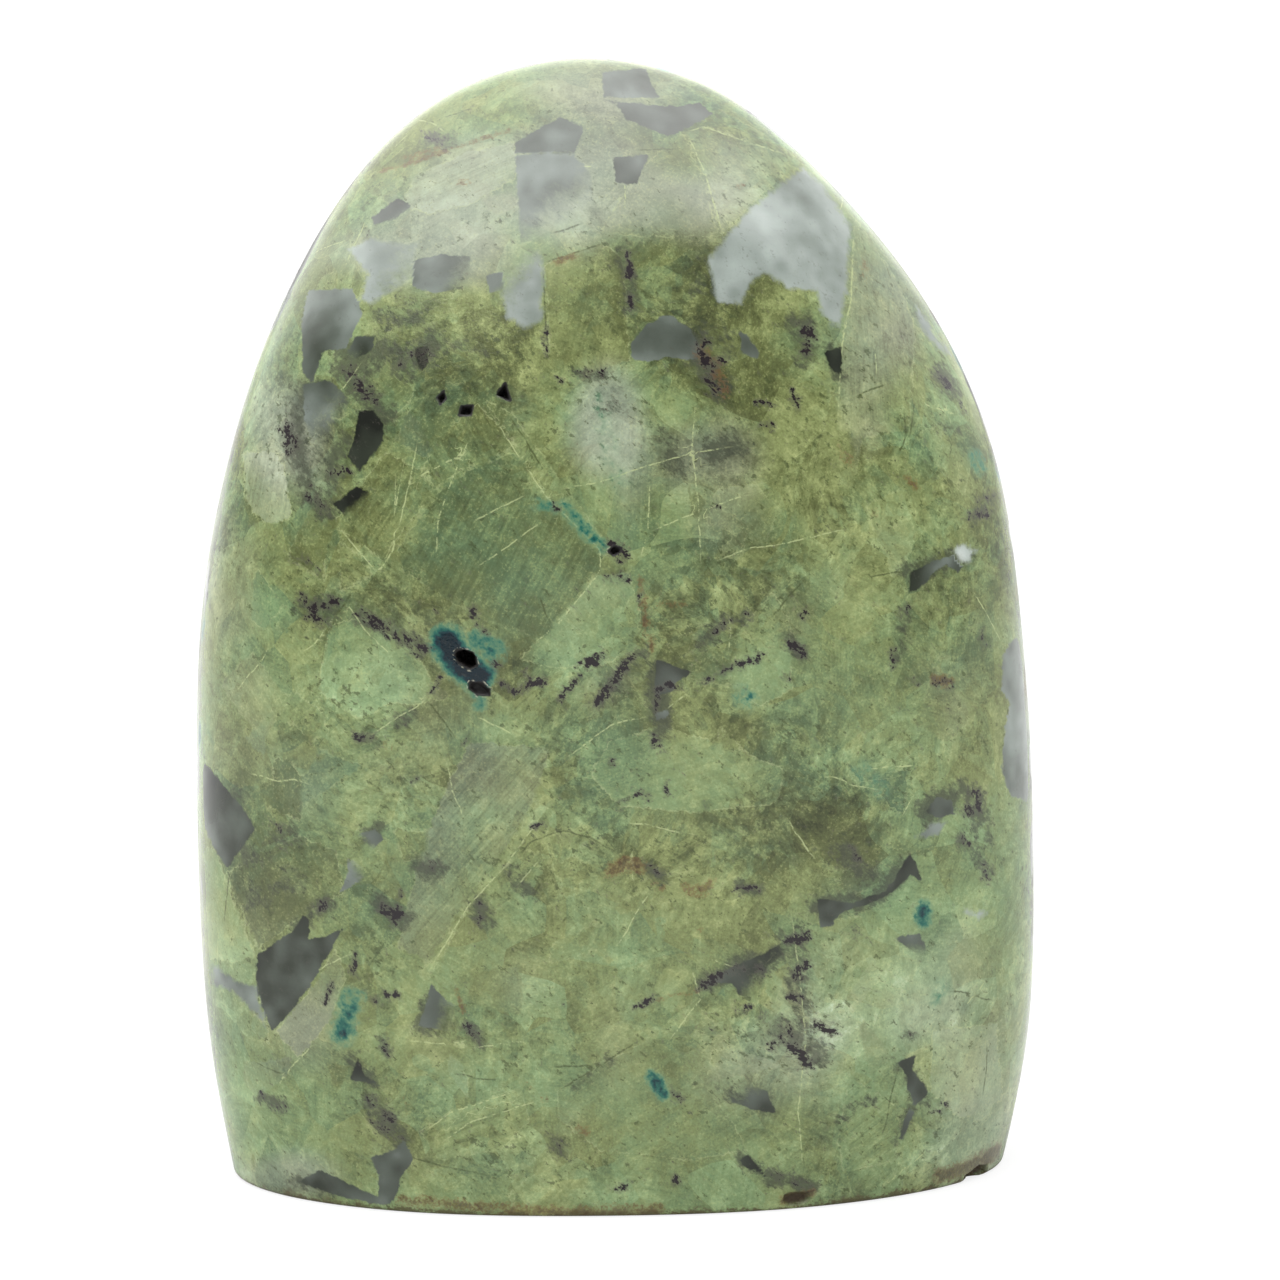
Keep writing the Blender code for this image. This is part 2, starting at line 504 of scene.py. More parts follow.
FRONT_WINDOWS = windows(
    right_shoulder=(((706, 262), (728, 230), (752, 206), (788, 176), (803, 166), (824, 184), (845, 214),
        (852, 232), (848, 288), (841, 330), (828, 322), (817, 308), (815, 292), (790, 291), (765, 274),
        (752, 285), (742, 306), (718, 303), (712, 284)), 0.64),
    under_shoulder=(((739, 331), (748, 336), (759, 352), (757, 358), (742, 354)), 0.3),
    beside_shoulder=(((824, 351), (842, 346), (841, 376), (830, 368)), 0.18),
    brow=(((630, 345), (646, 325), (667, 314), (690, 328), (701, 348), (697, 360), (668, 357), (650, 362),
        (633, 359)), 0.3),
    crown=(((602, 72), (622, 70), (646, 68), (651, 84), (660, 97), (630, 98), (604, 97)), 0.28),
    crown_band=(((600, 99), (640, 104), (676, 106), (700, 103), (713, 114), (690, 127), (668, 137),
        (650, 129), (626, 119), (616, 104)), 0.17),
    crown_left=(((515, 142), (538, 130), (560, 117), (584, 127), (575, 153), (548, 152), (515, 153)), 0.28),
    lilac_column=(((515, 154), (548, 153), (574, 154), (590, 172), (596, 205), (570, 236), (520, 244)),
        0.46, (530, 165), (592, 250)),
    crown_middle=(((613, 158), (649, 154), (637, 184), (615, 183)), 0.26),
    milky_shoulder=(((346, 247), (372, 238), (398, 244), (421, 240), (417, 262), (415, 282), (396, 291),
        (370, 306), (357, 300), (366, 276)), 0.66, (366, 262), (452, 292)),
    milky_column=(((500, 250), (541, 248), (545, 268), (543, 322), (524, 329), (507, 320), (497, 290)),
        0.62, (530, 300), (486, 262)),
    slate=(((414, 260), (440, 255), (470, 256), (468, 289), (434, 293), (412, 286)), 0.34, (432, 266),
        (480, 296)),
    dark_step=(((486, 274), (502, 272), (504, 290), (490, 293)), 0.42, (494, 280), (510, 300)),
    teal_shadow=(((372, 218), (398, 198), (412, 206), (396, 218), (374, 226)), 0.34, (390, 208),
        (404, 232)),
    left_brow=(((301, 322), (308, 290), (352, 288), (363, 312), (346, 348), (322, 352), (313, 385),
        (303, 372)), 0.34),
    left_brow_lower=(((303, 384), (330, 380), (350, 400), (340, 432), (312, 440), (304, 420)),
        0.34, (305, 392), (345, 440)),
    left_edge=(((196, 756), (210, 768), (224, 786), (246, 812), (256, 829), (240, 850), (227, 868),
        (212, 846), (198, 806)), 0.18),
    lower_left=(((257, 955), (290, 933), (303, 916), (310, 920), (308, 939), (326, 936), (342, 929),
        (331, 950), (310, 986), (290, 1012), (272, 1031), (262, 1006), (256, 981)), 0.2),
    lower_left_band=(((213, 963), (236, 980), (256, 986), (262, 1010), (269, 1034), (252, 1012), (232, 992),
        (212, 985)), 0.52),
    foot_left=(((297, 1182), (320, 1170), (334, 1176), (358, 1188), (378, 1197), (379, 1176), (370, 1158),
        (394, 1150), (404, 1140), (413, 1160), (402, 1176), (396, 1198), (388, 1206), (346, 1198)), 0.3),
    left_wedge=(((346, 856), (372, 872), (352, 886), (340, 892), (348, 872)), 0.4, (345, 880), (368, 862)),
    mid_left_wedge=(((431, 984), (446, 1000), (470, 1012), (468, 1036), (418, 1026), (426, 1004)),
        0.3, (424, 1000), (470, 1020)),
    right_edge=(((1030, 628), (1012, 640), (1003, 654), (1001, 690), (1009, 702), (1003, 740), (1001, 772),
        (1010, 796), (1036, 804), (1050, 700)), 0.44),
    right_cheek=(((914, 304), (922, 308), (952, 356), (940, 352), (918, 330)), 0.62),
    hook=(((908, 596), (911, 572), (935, 560), (954, 556), (964, 566), (958, 573), (946, 565), (934, 572),
        (927, 582), (914, 591)), 0.16),
    hook_cloud=(((950, 550), (964, 543), (978, 549), (972, 562), (960, 566)), 0.78, (966, 552), (950, 570)),
    centre=(((655, 659), (692, 672), (674, 684), (675, 690), (656, 697)), 0.16),
    centre_foot=(((655, 712), (668, 710), (670, 716), (656, 721)), 0.3),
    long_wedge=(((701, 987), (712, 977), (734, 966), (760, 955), (786, 941), (790, 951), (766, 966),
        (764, 986), (751, 1001), (738, 994), (733, 984), (716, 983)), 0.16, (735, 970), (772, 1000)),
    low_wedge=(((711, 1088), (735, 1071), (748, 1076), (754, 1088), (768, 1090), (770, 1100), (777, 1114),
        (755, 1110), (734, 1103), (722, 1100)), 0.2, (758, 1112), (732, 1070)),
    foot_wedge=(((739, 1159), (748, 1155), (757, 1164), (767, 1177), (754, 1171), (742, 1165)), 0.08),
    channel=(((817, 898), (836, 900), (850, 904), (868, 896), (884, 892), (894, 880), (904, 862),
        (910, 852), (916, 863), (923, 883), (911, 875), (900, 886), (888, 895), (866, 905), (845, 911),
        (835, 919), (832, 926), (820, 928)), 0.1),
    channel_foot=(((894, 937), (920, 934), (927, 951), (920, 956), (904, 945)), 0.32, (915, 936),
        (912, 962)),
    lilac=(((962, 908), (989, 911), (980, 922), (968, 918)), 0.68),
    right_foot=(((897, 1062), (916, 1055), (912, 1070), (925, 1084), (928, 1094), (914, 1106), (908, 1090),
        (906, 1076)), 0.2),
    right_foot_tail=(((908, 1108), (914, 1112), (903, 1140), (899, 1138)), 0.28),
    smoky_prism=(((358, 411), (371, 409), (384, 423), (383, 443), (372, 455), (360, 472), (347, 457),
        (354, 440)), 0.1),
    smoky_block=(((333, 504), (358, 486), (371, 494), (347, 519)), 0.06, (342, 498), (360, 520)),
    grey_blob=(((358, 835), (376, 828), (384, 840), (370, 850), (360, 846)), 0.38, (378, 832), (360, 850)),
    small_triangle=(((358, 1058), (364, 1074), (380, 1086), (360, 1082), (350, 1080)), 0.14),
    right_grey=(((925, 812), (936, 797), (952, 800), (955, 814), (940, 818)), 0.24),
    far_right_wedge=(((915, 838), (930, 822), (948, 822), (940, 834), (925, 840)), 0.52),
    dim_blob=(((344, 357), (356, 336), (376, 336), (372, 350), (352, 362)), 0.16, (360, 342), (346, 366)),
    dim_blob_right=(((416, 348), (428, 346), (428, 362), (422, 372), (416, 362)), 0.16),
)

FRONT_CRYSTALS = crystals(
    dark_heart=(((438, 494), (466, 472), (515, 452), (545, 500), (603, 556), (592, 578), (546, 640),
        (505, 626), (452, 602), (404, 572), (398, 548)), -0.36, 0.12, 0.0, 62.0, 0.8, 0.2),
    left_fan=(((384, 560), (332, 524), (350, 500), (372, 470), (388, 452), (420, 470), (432, 494),
        (392, 545)), -0.15, -0.15, 0.0, 55.0, 0.8),
    upper_fan=(((424, 466), (440, 436), (478, 404), (512, 440), (510, 450), (464, 468), (436, 488)),
        -0.05, -0.25, 0.0, -60.0, 0.8),
    band=(((516, 444), (484, 400), (510, 412), (560, 480), (612, 552), (600, 556), (548, 498)),
        0.05, 0.1, 0.0, 58.0, 0.9),
    tall_block=(((545, 263), (604, 243), (622, 258), (626, 300), (629, 360), (590, 374), (550, 352)),
        -0.1, -0.45, 0.0, 75.0, 0.45),
    crown_plate=(((684, 132), (704, 126), (790, 156), (785, 173), (744, 212), (722, 236), (706, 176)),
        0.3, 0.05, 0.1, -40.0, 0.3),
    crown_plate_left=(((640, 170), (682, 134), (702, 178), (718, 236), (640, 236), (600, 232)),
        0.05, -0.15, 0.0, 20.0, 0.25),
    right_blade=(((855, 218), (900, 286), (916, 330), (908, 430), (872, 436), (838, 432), (841, 345),
        (851, 300)), 0.2, -0.1, 0.15, 88.0, 0.8),
    striped_edge=(((243, 452), (278, 452), (286, 474), (292, 521), (262, 523), (245, 498)),
        0.55, -0.2, 0.45, 80.0, 1.0),
    crown_stripes=(((400, 205), (416, 176), (470, 150), (516, 142), (516, 178), (470, 204), (430, 214)),
        0.3, -0.05, 0.2, 24.0, 1.0),
    prism=(((470, 742), (552, 748), (534, 800), (498, 862), (464, 902), (430, 962), (398, 948), (416, 872),
        (440, 800)), 0.05, 0.05, 0.45, 48.0, 0.9, 0.2),
    prism_side=(((538, 800), (548, 806), (505, 868), (470, 905), (428, 982), (418, 974), (432, 960),
        (468, 902), (502, 862)), 0.5, 0.1, 0.2, 52.0, 0.6),
    mint_cheek=(((330, 624), (362, 618), (414, 650), (440, 692), (424, 706), (392, 702), (360, 720),
        (318, 690)), 0.4, 0.35, 0.0, 30.0, 0.3),
    mint_heart=(((596, 576), (628, 572), (640, 612), (636, 650), (604, 664), (556, 668), (520, 660),
        (560, 618)), 0.25, 0.4, 0.1, 40.0, 0.3),
    mint_right=(((742, 628), (772, 592), (790, 620), (792, 690), (760, 706), (728, 680)),
        0.35, 0.35, 0.0, 70.0, 0.3),
    mint_belly=(((610, 742), (660, 726), (720, 744), (786, 770), (776, 804), (690, 812), (620, 806),
        (590, 776)), 0.35, 0.35, 0.0, 15.0, 0.4),
    pale_strip=(((199, 850), (214, 846), (226, 880), (246, 934), (256, 956), (234, 962), (206, 958)),
        0.5, 0.3, 0.0, 85.0, 0.2),
    low_plate=(((556, 1090), (602, 1064), (652, 1040), (716, 1032), (706, 1086), (730, 1120), (748, 1150),
        (690, 1160), (600, 1150), (560, 1120)), -0.12, 0.1, 0.05, 28.0, 0.35),
    low_right_plate=(((850, 1076), (900, 1108), (896, 1160), (844, 1172), (838, 1140)),
        -0.05, 0.1, 0.0, 35.0, 0.9),
    right_foot_plate=(((932, 1030), (996, 1024), (1004, 1100), (960, 1120), (930, 1092)),
        0.2, 0.05, 0.15, 80.0, 0.3),
    olive_oval=(((838, 880), (850, 866), (872, 864), (880, 880), (862, 892), (842, 890)),
        -0.4, -0.1, 0.3, 10.0, 0.2),
    low_left_plate=(((420, 1132), (450, 1112), (520, 1088), (530, 1120), (500, 1150), (440, 1160)),
        0.1, 0.1, 0.0, 26.0, 0.9),
    left_rust_plate=(((228, 872), (262, 852), (300, 836), (336, 852), (344, 892), (308, 912), (258, 948),
        (246, 920)), -0.28, -0.15, 0.15, 15.0, 0.3),
    sand_plate=(((276, 1032), (312, 988), (336, 950), (346, 976), (330, 1020), (300, 1058)),
        -0.05, -0.2, 0.45, 50.0, 0.3),
)

# About a hundred of these were placed by comparing averages of a render and the picture in squares
FRONT_PATCHES = (
    *patches(
        Tint.OLIVE,
        ((455, 345), 110, 60, 1.0, 1.0), ((350, 480), 40, 70, 0.9, 0.8),
        ((700, 290), 110, 80, 1.1, 0.5, 20), ((790, 400), 130, 110, 0.7, 0.4),
        ((880, 520), 120, 120, 0.5, 0.3), ((700, 620), 90, 50, 1.0, 0.8, 10),
        ((720, 725), 90, 40, 0.8, 0.7, -12), ((285, 560), 60, 40, 0.8, 0.3),
        ((430, 620), 70, 26, 0.7, 0.7, -25), ((420, 760), 60, 60, 0.5, 0.3),
        ((620, 860), 110, 40, 0.6, 0.3, -10), ((600, 950), 150, 60, 0.3, 0.2),
        ((520, 1160), 160, 50, 0.6, 0.4), ((990, 740), 30, 90, 0.7, 0.2), ((440, 120), 90, 30, 0.6, 0, 28),
    ),
    *patches(
        Tint.DEEP,
        ((690, 270), 70, 70, 0.35), ((706, 372), 60, 45, 0.45, 0.5, -40), ((628, 266), 22, 34, 0.5),
        ((740, 722), 60, 26, 0.4, 0, -10), ((300, 880), 60, 60, 0.3, 0.4), ((830, 830), 90, 60, 0.6, 0.4),
        ((810, 750), 40, 40, 0.5, 0.4), ((600, 850), 80, 30, 0.35, 0, -12), ((480, 680), 60, 40, 0.9),
        ((410, 690), 60, 60, 0.5), ((545, 650), 50, 50, 0.6), ((740, 640), 90, 60, 0.5),
        ((800, 680), 50, 60, 0.6), ((610, 780), 60, 40, 0.5), ((740, 790), 90, 60, 0.7),
        ((850, 800), 50, 50, 0.5), ((480, 980), 40, 60, 0.5), ((420, 470), 50, 50, 0.6),
        ((230, 840), 50, 160, 0.4), ((740, 275), 60, 50, 0.7), ((930, 340), 50, 50, 0.5),
        ((440, 400), 70, 46, 0.9), ((480, 430), 60, 50, 0.5), ((425, 760), 60, 80, 0.9),
        ((352, 610), 60, 50, 0.6), ((420, 590), 50, 50, 0.6), ((610, 600), 50, 50, 0.5),
        ((610, 720), 60, 40, 0.7), ((672, 660), 60, 60, 0.5), ((736, 530), 50, 40, 0.6),
        ((800, 600), 50, 60, 0.8), ((740, 840), 70, 40, 0.7), ((736, 1104), 50, 40, 0.8),
        ((416, 1160), 50, 36, 0.5), ((416, 1000), 50, 70, 0.5), ((800, 350), 40, 60, 0.3),
        ((606, 280), 50, 50, 0.6), ((740, 290), 40, 40, 0.4), ((740, 150), 70, 50, 0.4),
        ((640, 76), 150, 60, 0.5), ((410, 400), 110, 60, 0.55, 0.4), ((370, 620), 130, 50, 0.45, 0, 10),
        ((420, 530), 90, 60, 0.3), ((672, 335), 60, 50, 0.6), ((620, 600), 60, 140, 0.35),
        ((260, 790), 90, 140, 0.3), ((300, 600), 110, 120, 0.25), ((740, 545), 60, 40, 0.45),
        ((830, 790), 110, 50, 0.55), ((990, 620), 50, 130, 0.3),
    ),
    *patches(
        Tint.DUSK,
        ((672, 455), 30, 45, 0.7), ((725, 450), 42, 50, 0.8, 0, 10), ((740, 530), 60, 40, 0.5),
        ((600, 690), 70, 28, 0.5, 0, 35), ((270, 760), 60, 50, 0.5), ((985, 620), 36, 80, 0.35),
        ((640, 150), 160, 60, 0.5), ((740, 165), 60, 60, 0.5), ((455, 180), 90, 50, 0.5, 0, 20),
    ),
    # Near the top these patches paint part of the whitish reflection veil of the polish.
    *patches(
        Tint.HAZE_AND_SHEEN,
        ((605, 420), 44, 60, 0.9, 0, -10), ((632, 490), 22, 70, 0.5), ((820, 1010), 50, 90, 0.18, 0.9),
        ((450, 230), 120, 40, 0.6, 0, 10), ((565, 215), 50, 50, 0.9), ((470, 165), 100, 34, 0.6, 0, 22),
        ((490, 216), 70, 34, 0.8, 0, 10), ((600, 190), 70, 60, 0.7), ((400, 262), 90, 34, 0.6, 0, -8),
        ((300, 440), 40, 60, 0.5, 0, 10),
    ),
    *patches(
        Tint.MINT,
        ((770, 660), 50, 60, 0.5), ((590, 640), 80, 40, 0.4, 0, 40), ((380, 680), 90, 60, 0.5, 0, -20),
        ((360, 790), 60, 70, 0.35), ((860, 780), 50, 50, 0.6, 0.5), ((920, 930), 110, 90, 0.5),
        ((268, 1165), 40, 30, 0.7), ((470, 1075), 60, 30, 0.4, 0, 10), ((940, 1145), 50, 26, 0.6, 0, 20),
        ((930, 470), 50, 60, 0.3, 0, 20), ((610, 430), 40, 60, 0.8), ((500, 560), 60, 50, 0.5, 0, 30),
        ((440, 540), 40, 60, 0.4, 0, 30),
    ),
    # The patches near the top (y below about 270) paint part of the whitish reflection veil of the polish;
    # the others are shades of the stone.
    *patches(
        Tint.PALE,
        ((240, 640), 50, 120, 0.35), ((900, 1000), 120, 70, 0.45), ((575, 985), 90, 40, 0.3),
        ((500, 1150), 50, 26, 0.3, 0.4), ((820, 560), 30, 90, 0.3), ((265, 420), 26, 50, 0.5, 0, 15),
        ((560, 90), 50, 26, 0.5, 0, 20), ((745, 200), 26, 60, 0.5, 0, 30), ((610, 460), 30, 90, 0.5),
        ((480, 90), 60, 40, 0.7, 0, 30), ((480, 150), 60, 40, 0.6, 0, 30), ((610, 150), 60, 50, 0.5),
        ((350, 340), 50, 50, 0.7), ((400, 340), 70, 50, 0.5), ((360, 400), 90, 60, 0.4),
        ((672, 465), 40, 50, 0.7), ((800, 345), 50, 60, 0.8), ((928, 530), 50, 50, 0.7),
        ((870, 590), 50, 50, 0.5), ((610, 850), 60, 50, 0.6), ((360, 720), 50, 40, 0.5),
        ((290, 780), 50, 50, 0.5), ((544, 785), 50, 50, 0.5), ((600, 912), 60, 50, 0.4),
        ((990, 850), 40, 60, 0.8), ((960, 960), 110, 100, 0.6), ((840, 1000), 100, 70, 0.5),
        ((980, 1110), 60, 90, 0.8), ((930, 1170), 90, 40, 0.8), ((260, 1100), 70, 90, 0.8),
        ((480, 1170), 60, 40, 0.6), ((800, 1040), 50, 50, 0.6), ((670, 205), 70, 40, 0.55),
        ((870, 555), 90, 90, 0.45), ((840, 360), 60, 60, 0.4), ((860, 980), 190, 110, 0.35),
        ((600, 1010), 150, 120, 0.35), ((230, 1050), 50, 90, 0.45), ((620, 1180), 420, 46, 0.75),
        ((570, 810), 70, 50, 0.3), ((560, 1090), 90, 60, 0.4),
    ),
    # The patches near the top (y below about 270) paint part of the whitish reflection veil of the polish;
    # the others are shades of the stone.
    *patches(
        Tint.GREY,
        ((600, 84), 110, 40, 0.8), ((560, 150), 110, 50, 0.6, 0, 10), ((672, 208), 70, 40, 0.9),
        ((480, 262), 60, 30, 0.9), ((740, 220), 60, 60, 0.4), ((880, 310), 70, 90, 0.6, 0, -30),
        ((285, 440), 50, 90, 0.7, 0, 10), ((230, 570), 40, 80, 0.6), ((608, 430), 50, 80, 0.5),
        ((710, 480), 80, 70, 0.5), ((860, 410), 40, 60, 0.5), ((300, 1030), 50, 50, 0.5),
        ((290, 1176), 60, 30, 0.9), ((850, 980), 110, 80, 0.3), ((770, 1080), 90, 70, 0.5),
        ((950, 1040), 80, 90, 0.5), ((980, 1150), 80, 50, 0.5, 0, 20),
    ),
)

FRONT_STAINS = (
    *streaks(
        Stain.TEAL,
        (26, 1.3, (446, 642), (462, 664), (478, 676)), (22, 0.55, (474, 640), (496, 652)),
        (14, 0.45, (478, 694), (480, 706)), (15, 0.7, (923, 908), (923, 920)),
        (12, 0.8, (652, 1076), (664, 1094)), (24, 0.55, (352, 1000), (342, 1034)),
        (14, 0.62, (345, 1034), (348, 1030)), (15, 0.42, (538, 506), (566, 508), (584, 530), (604, 548)),
        (8, 0.62, (574, 516), (596, 542)), (26, 0.35, (744, 694), (748, 700)),
        (8, 0.85, (745, 695), (747, 698)), (26, 0.2, (600, 400), (612, 460), (622, 490)),
        (16, 0.4, (974, 456), (980, 468)), (16, 0.3, (936, 1000), (942, 985)),
        (26, 0.26, (862, 770), (880, 790)),
    ),
    *streaks(
        Stain.RUST,
        (14, 1.0, (610, 872), (626, 862), (640, 866)), (12, 0.75, (684, 888), (700, 892), (712, 882)),
        (12, 1.1, (936, 680), (948, 682)), (9, 0.75, (640, 580), (645, 620), (652, 648)),
        (8, 0.6, (656, 606), (684, 604)), (12, 0.55, (838, 446), (850, 462)),
        (9, 0.75, (908, 478), (916, 486)), (9, 0.45, (872, 510), (880, 518)),
        (7, 0.9, (555, 262), (575, 256)), (16, 0.6, (700, 352), (716, 366), (722, 392)),
        (6, 0.8, (456, 990), (464, 1012)), (6, 0.6, (660, 1000), (700, 990)),
        (7, 0.7, (540, 1096), (548, 1098)), (6, 0.5, (524, 1082), (532, 1088)),
        (9, 0.8, (578, 1130), (588, 1132)), (7, 0.7, (386, 744), (390, 748)),
        (8, 0.6, (654, 884), (662, 888)), (8, 0.5, (700, 930), (706, 936)),
        (12, 0.8, (402, 1200), (470, 1206), (560, 1212), (660, 1208)),
        (16, 1.0, (940, 1176), (972, 1166), (998, 1150)), (10, 0.9, (784, 1200), (812, 1192)),
        (5, 0.75, (380, 172), (420, 160), (460, 146), (510, 130)), (6, 0.6, (404, 158), (440, 148)),
        (7, 0.8, (460, 182), (468, 182)), (6, 0.8, (738, 186), (742, 186)),
        (9, 0.5, (864, 262), (866, 280)), (9, 0.4, (404, 1096), (408, 1112)),
    ),
)

FRONT_SPECKS = streaks(
    Stain.SPECK,
    (17, 1.2, (612, 545), (622, 556)), (9, 1.0, (605, 578), (612, 576)), (9, 1.0, (620, 574), (628, 580)),
    (12, 1.1, (302, 598), (312, 612), (322, 604), (336, 602)), (11, 1.0, (310, 618), (326, 624)),
    (16, 1.0, (360, 616), (384, 628), (404, 640), (422, 650)), (9, 0.9, (470, 610), (486, 634)),
    (6, 1.1, (440, 677), (430, 696)), (9, 1.1, (516, 692), (532, 684), (546, 682)),
    (8, 1.0, (524, 672), (532, 676)), (8, 1.0, (492, 664), (502, 668)), (9, 1.0, (502, 684), (510, 688)),
    (9, 1.1, (578, 664), (602, 656)), (9, 1.0, (588, 668), (598, 662)), (8, 1.1, (560, 698), (578, 678)),
    (11, 1.2, (598, 702), (614, 682), (630, 658)), (9, 1.0, (606, 690), (620, 676)),
    (9, 1.0, (705, 681), (730, 668), (760, 657)), (12, 1.1, (790, 642), (802, 652)),
    (8, 1.0, (788, 672), (790, 678)), (9, 1.1, (654, 738), (660, 752)), (7, 1.1, (667, 783), (669, 796)),
    (7, 1.1, (632, 792), (648, 798)), (6, 1.0, (620, 802), (632, 803)), (6, 1.0, (612, 761), (615, 763)),
    (9, 1.1, (658, 690), (668, 684), (678, 688)), (7, 1.1, (656, 698), (656, 710)),
    (7, 1.0, (641, 594), (641, 604)), (11, 0.8, (716, 632), (728, 620)), (6, 1.0, (748, 616), (750, 620)),
    (8, 1.1, (757, 402), (770, 404)), (7, 1.1, (760, 424), (774, 424)), (6, 1.0, (770, 429), (775, 430)),
    (9, 1.0, (792, 392), (797, 408)), (16, 1.1, (800, 324), (808, 334), (804, 350)),
    (17, 1.0, (702, 344), (708, 364), (714, 390)), (9, 1.0, (720, 358), (726, 362)),
    (9, 0.9, (578, 372), (604, 372)), (8, 0.9, (606, 412), (612, 402)), (6, 1.0, (560, 378), (562, 384)),
    (8, 1.1, (545, 326), (547, 352)), (9, 1.2, (627, 254), (630, 276)), (8, 1.1, (630, 296), (631, 308)),
    (7, 1.1, (712, 509), (716, 507)), (8, 1.1, (553, 508), (556, 511)), (19, 0.8, (430, 138), (446, 142)),
    (19, 0.9, (350, 372), (372, 398)), (19, 0.8, (404, 360), (426, 356)), (16, 1.1, (286, 428), (292, 448)),
    (12, 0.9, (330, 474), (350, 470)), (14, 0.8, (308, 492), (326, 512)), (12, 0.6, (302, 560), (314, 570)),
    (9, 1.1, (356, 738), (371, 738)), (12, 0.6, (396, 720), (406, 722)), (8, 0.8, (382, 730), (386, 736)),
    (8, 0.8, (412, 784), (420, 776)), (6, 1.0, (462, 740), (464, 742)), (12, 0.9, (272, 824), (280, 830)),
    (9, 0.8, (278, 844), (284, 850)), (12, 1.0, (314, 910), (326, 902)),
    (14, 1.1, (384, 908), (400, 914), (396, 922)), (8, 1.0, (400, 893), (402, 896)),
    (12, 0.7, (418, 866), (436, 866)), (11, 0.7, (482, 902), (478, 922)), (8, 1.0, (534, 826), (542, 823)),
    (9, 1.0, (332, 984), (326, 1000)), (8, 0.9, (356, 952), (354, 972)), (9, 1.1, (386, 994), (396, 996)),
    (8, 0.9, (374, 998), (380, 1006)), (11, 0.8, (384, 1040), (388, 1054)),
    (12, 0.9, (466, 1024), (480, 1042)), (14, 0.9, (370, 1102), (392, 1118)),
    (9, 0.9, (372, 1122), (400, 1138)), (11, 0.8, (262, 1096), (284, 1108)),
    (8, 1.2, (636, 1006), (654, 998)), (8, 1.1, (740, 1012), (750, 1007)),
    (12, 1.3, (790, 940), (806, 938)), (12, 1.1, (798, 972), (808, 964)), (9, 1.0, (796, 978), (806, 980)),
    (9, 1.1, (786, 998), (800, 999)), (11, 0.8, (764, 1014), (774, 1020)),
    (14, 0.9, (782, 1024), (796, 1040)), (12, 1.2, (814, 1024), (832, 1030)),
    (11, 0.9, (770, 1046), (780, 1040)), (14, 1.1, (792, 1050), (812, 1062)),
    (12, 0.9, (702, 986), (735, 968), (760, 972)), (8, 1.1, (738, 886), (758, 890)),
    (8, 1.0, (894, 650), (892, 664)), (9, 0.9, (904, 612), (907, 608)), (8, 1.0, (914, 682), (918, 684)),
    (12, 0.9, (936, 682), (950, 684)), (11, 1.0, (970, 516), (988, 514)), (9, 0.7, (978, 500), (992, 496)),
    (12, 1.0, (972, 790), (980, 794)), (14, 1.0, (962, 812), (980, 806)), (11, 1.0, (962, 838), (968, 844)),
    (11, 0.8, (984, 866), (988, 882)), (12, 0.6, (980, 628), (984, 646)), (9, 0.8, (960, 402), (964, 412)),
    (14, 0.9, (940, 372), (948, 388)), (14, 0.7, (798, 604), (806, 616)), (11, 0.8, (852, 852), (860, 860)),
    (12, 0.7, (652, 868), (660, 872)), (9, 0.8, (858, 934), (862, 944)), (8, 0.9, (906, 1034), (914, 1034)),
    (9, 0.8, (934, 1112), (946, 1106)), (14, 0.6, (774, 1172), (780, 1180)),
    (14, 0.8, (798, 1180), (806, 1188)), (11, 0.9, (672, 1184), (678, 1180)),
    (9, 0.9, (620, 1188), (628, 1184)), (16, 0.5, (552, 1138), (560, 1150)),
    (11, 0.8, (674, 1094), (682, 1100)),
)

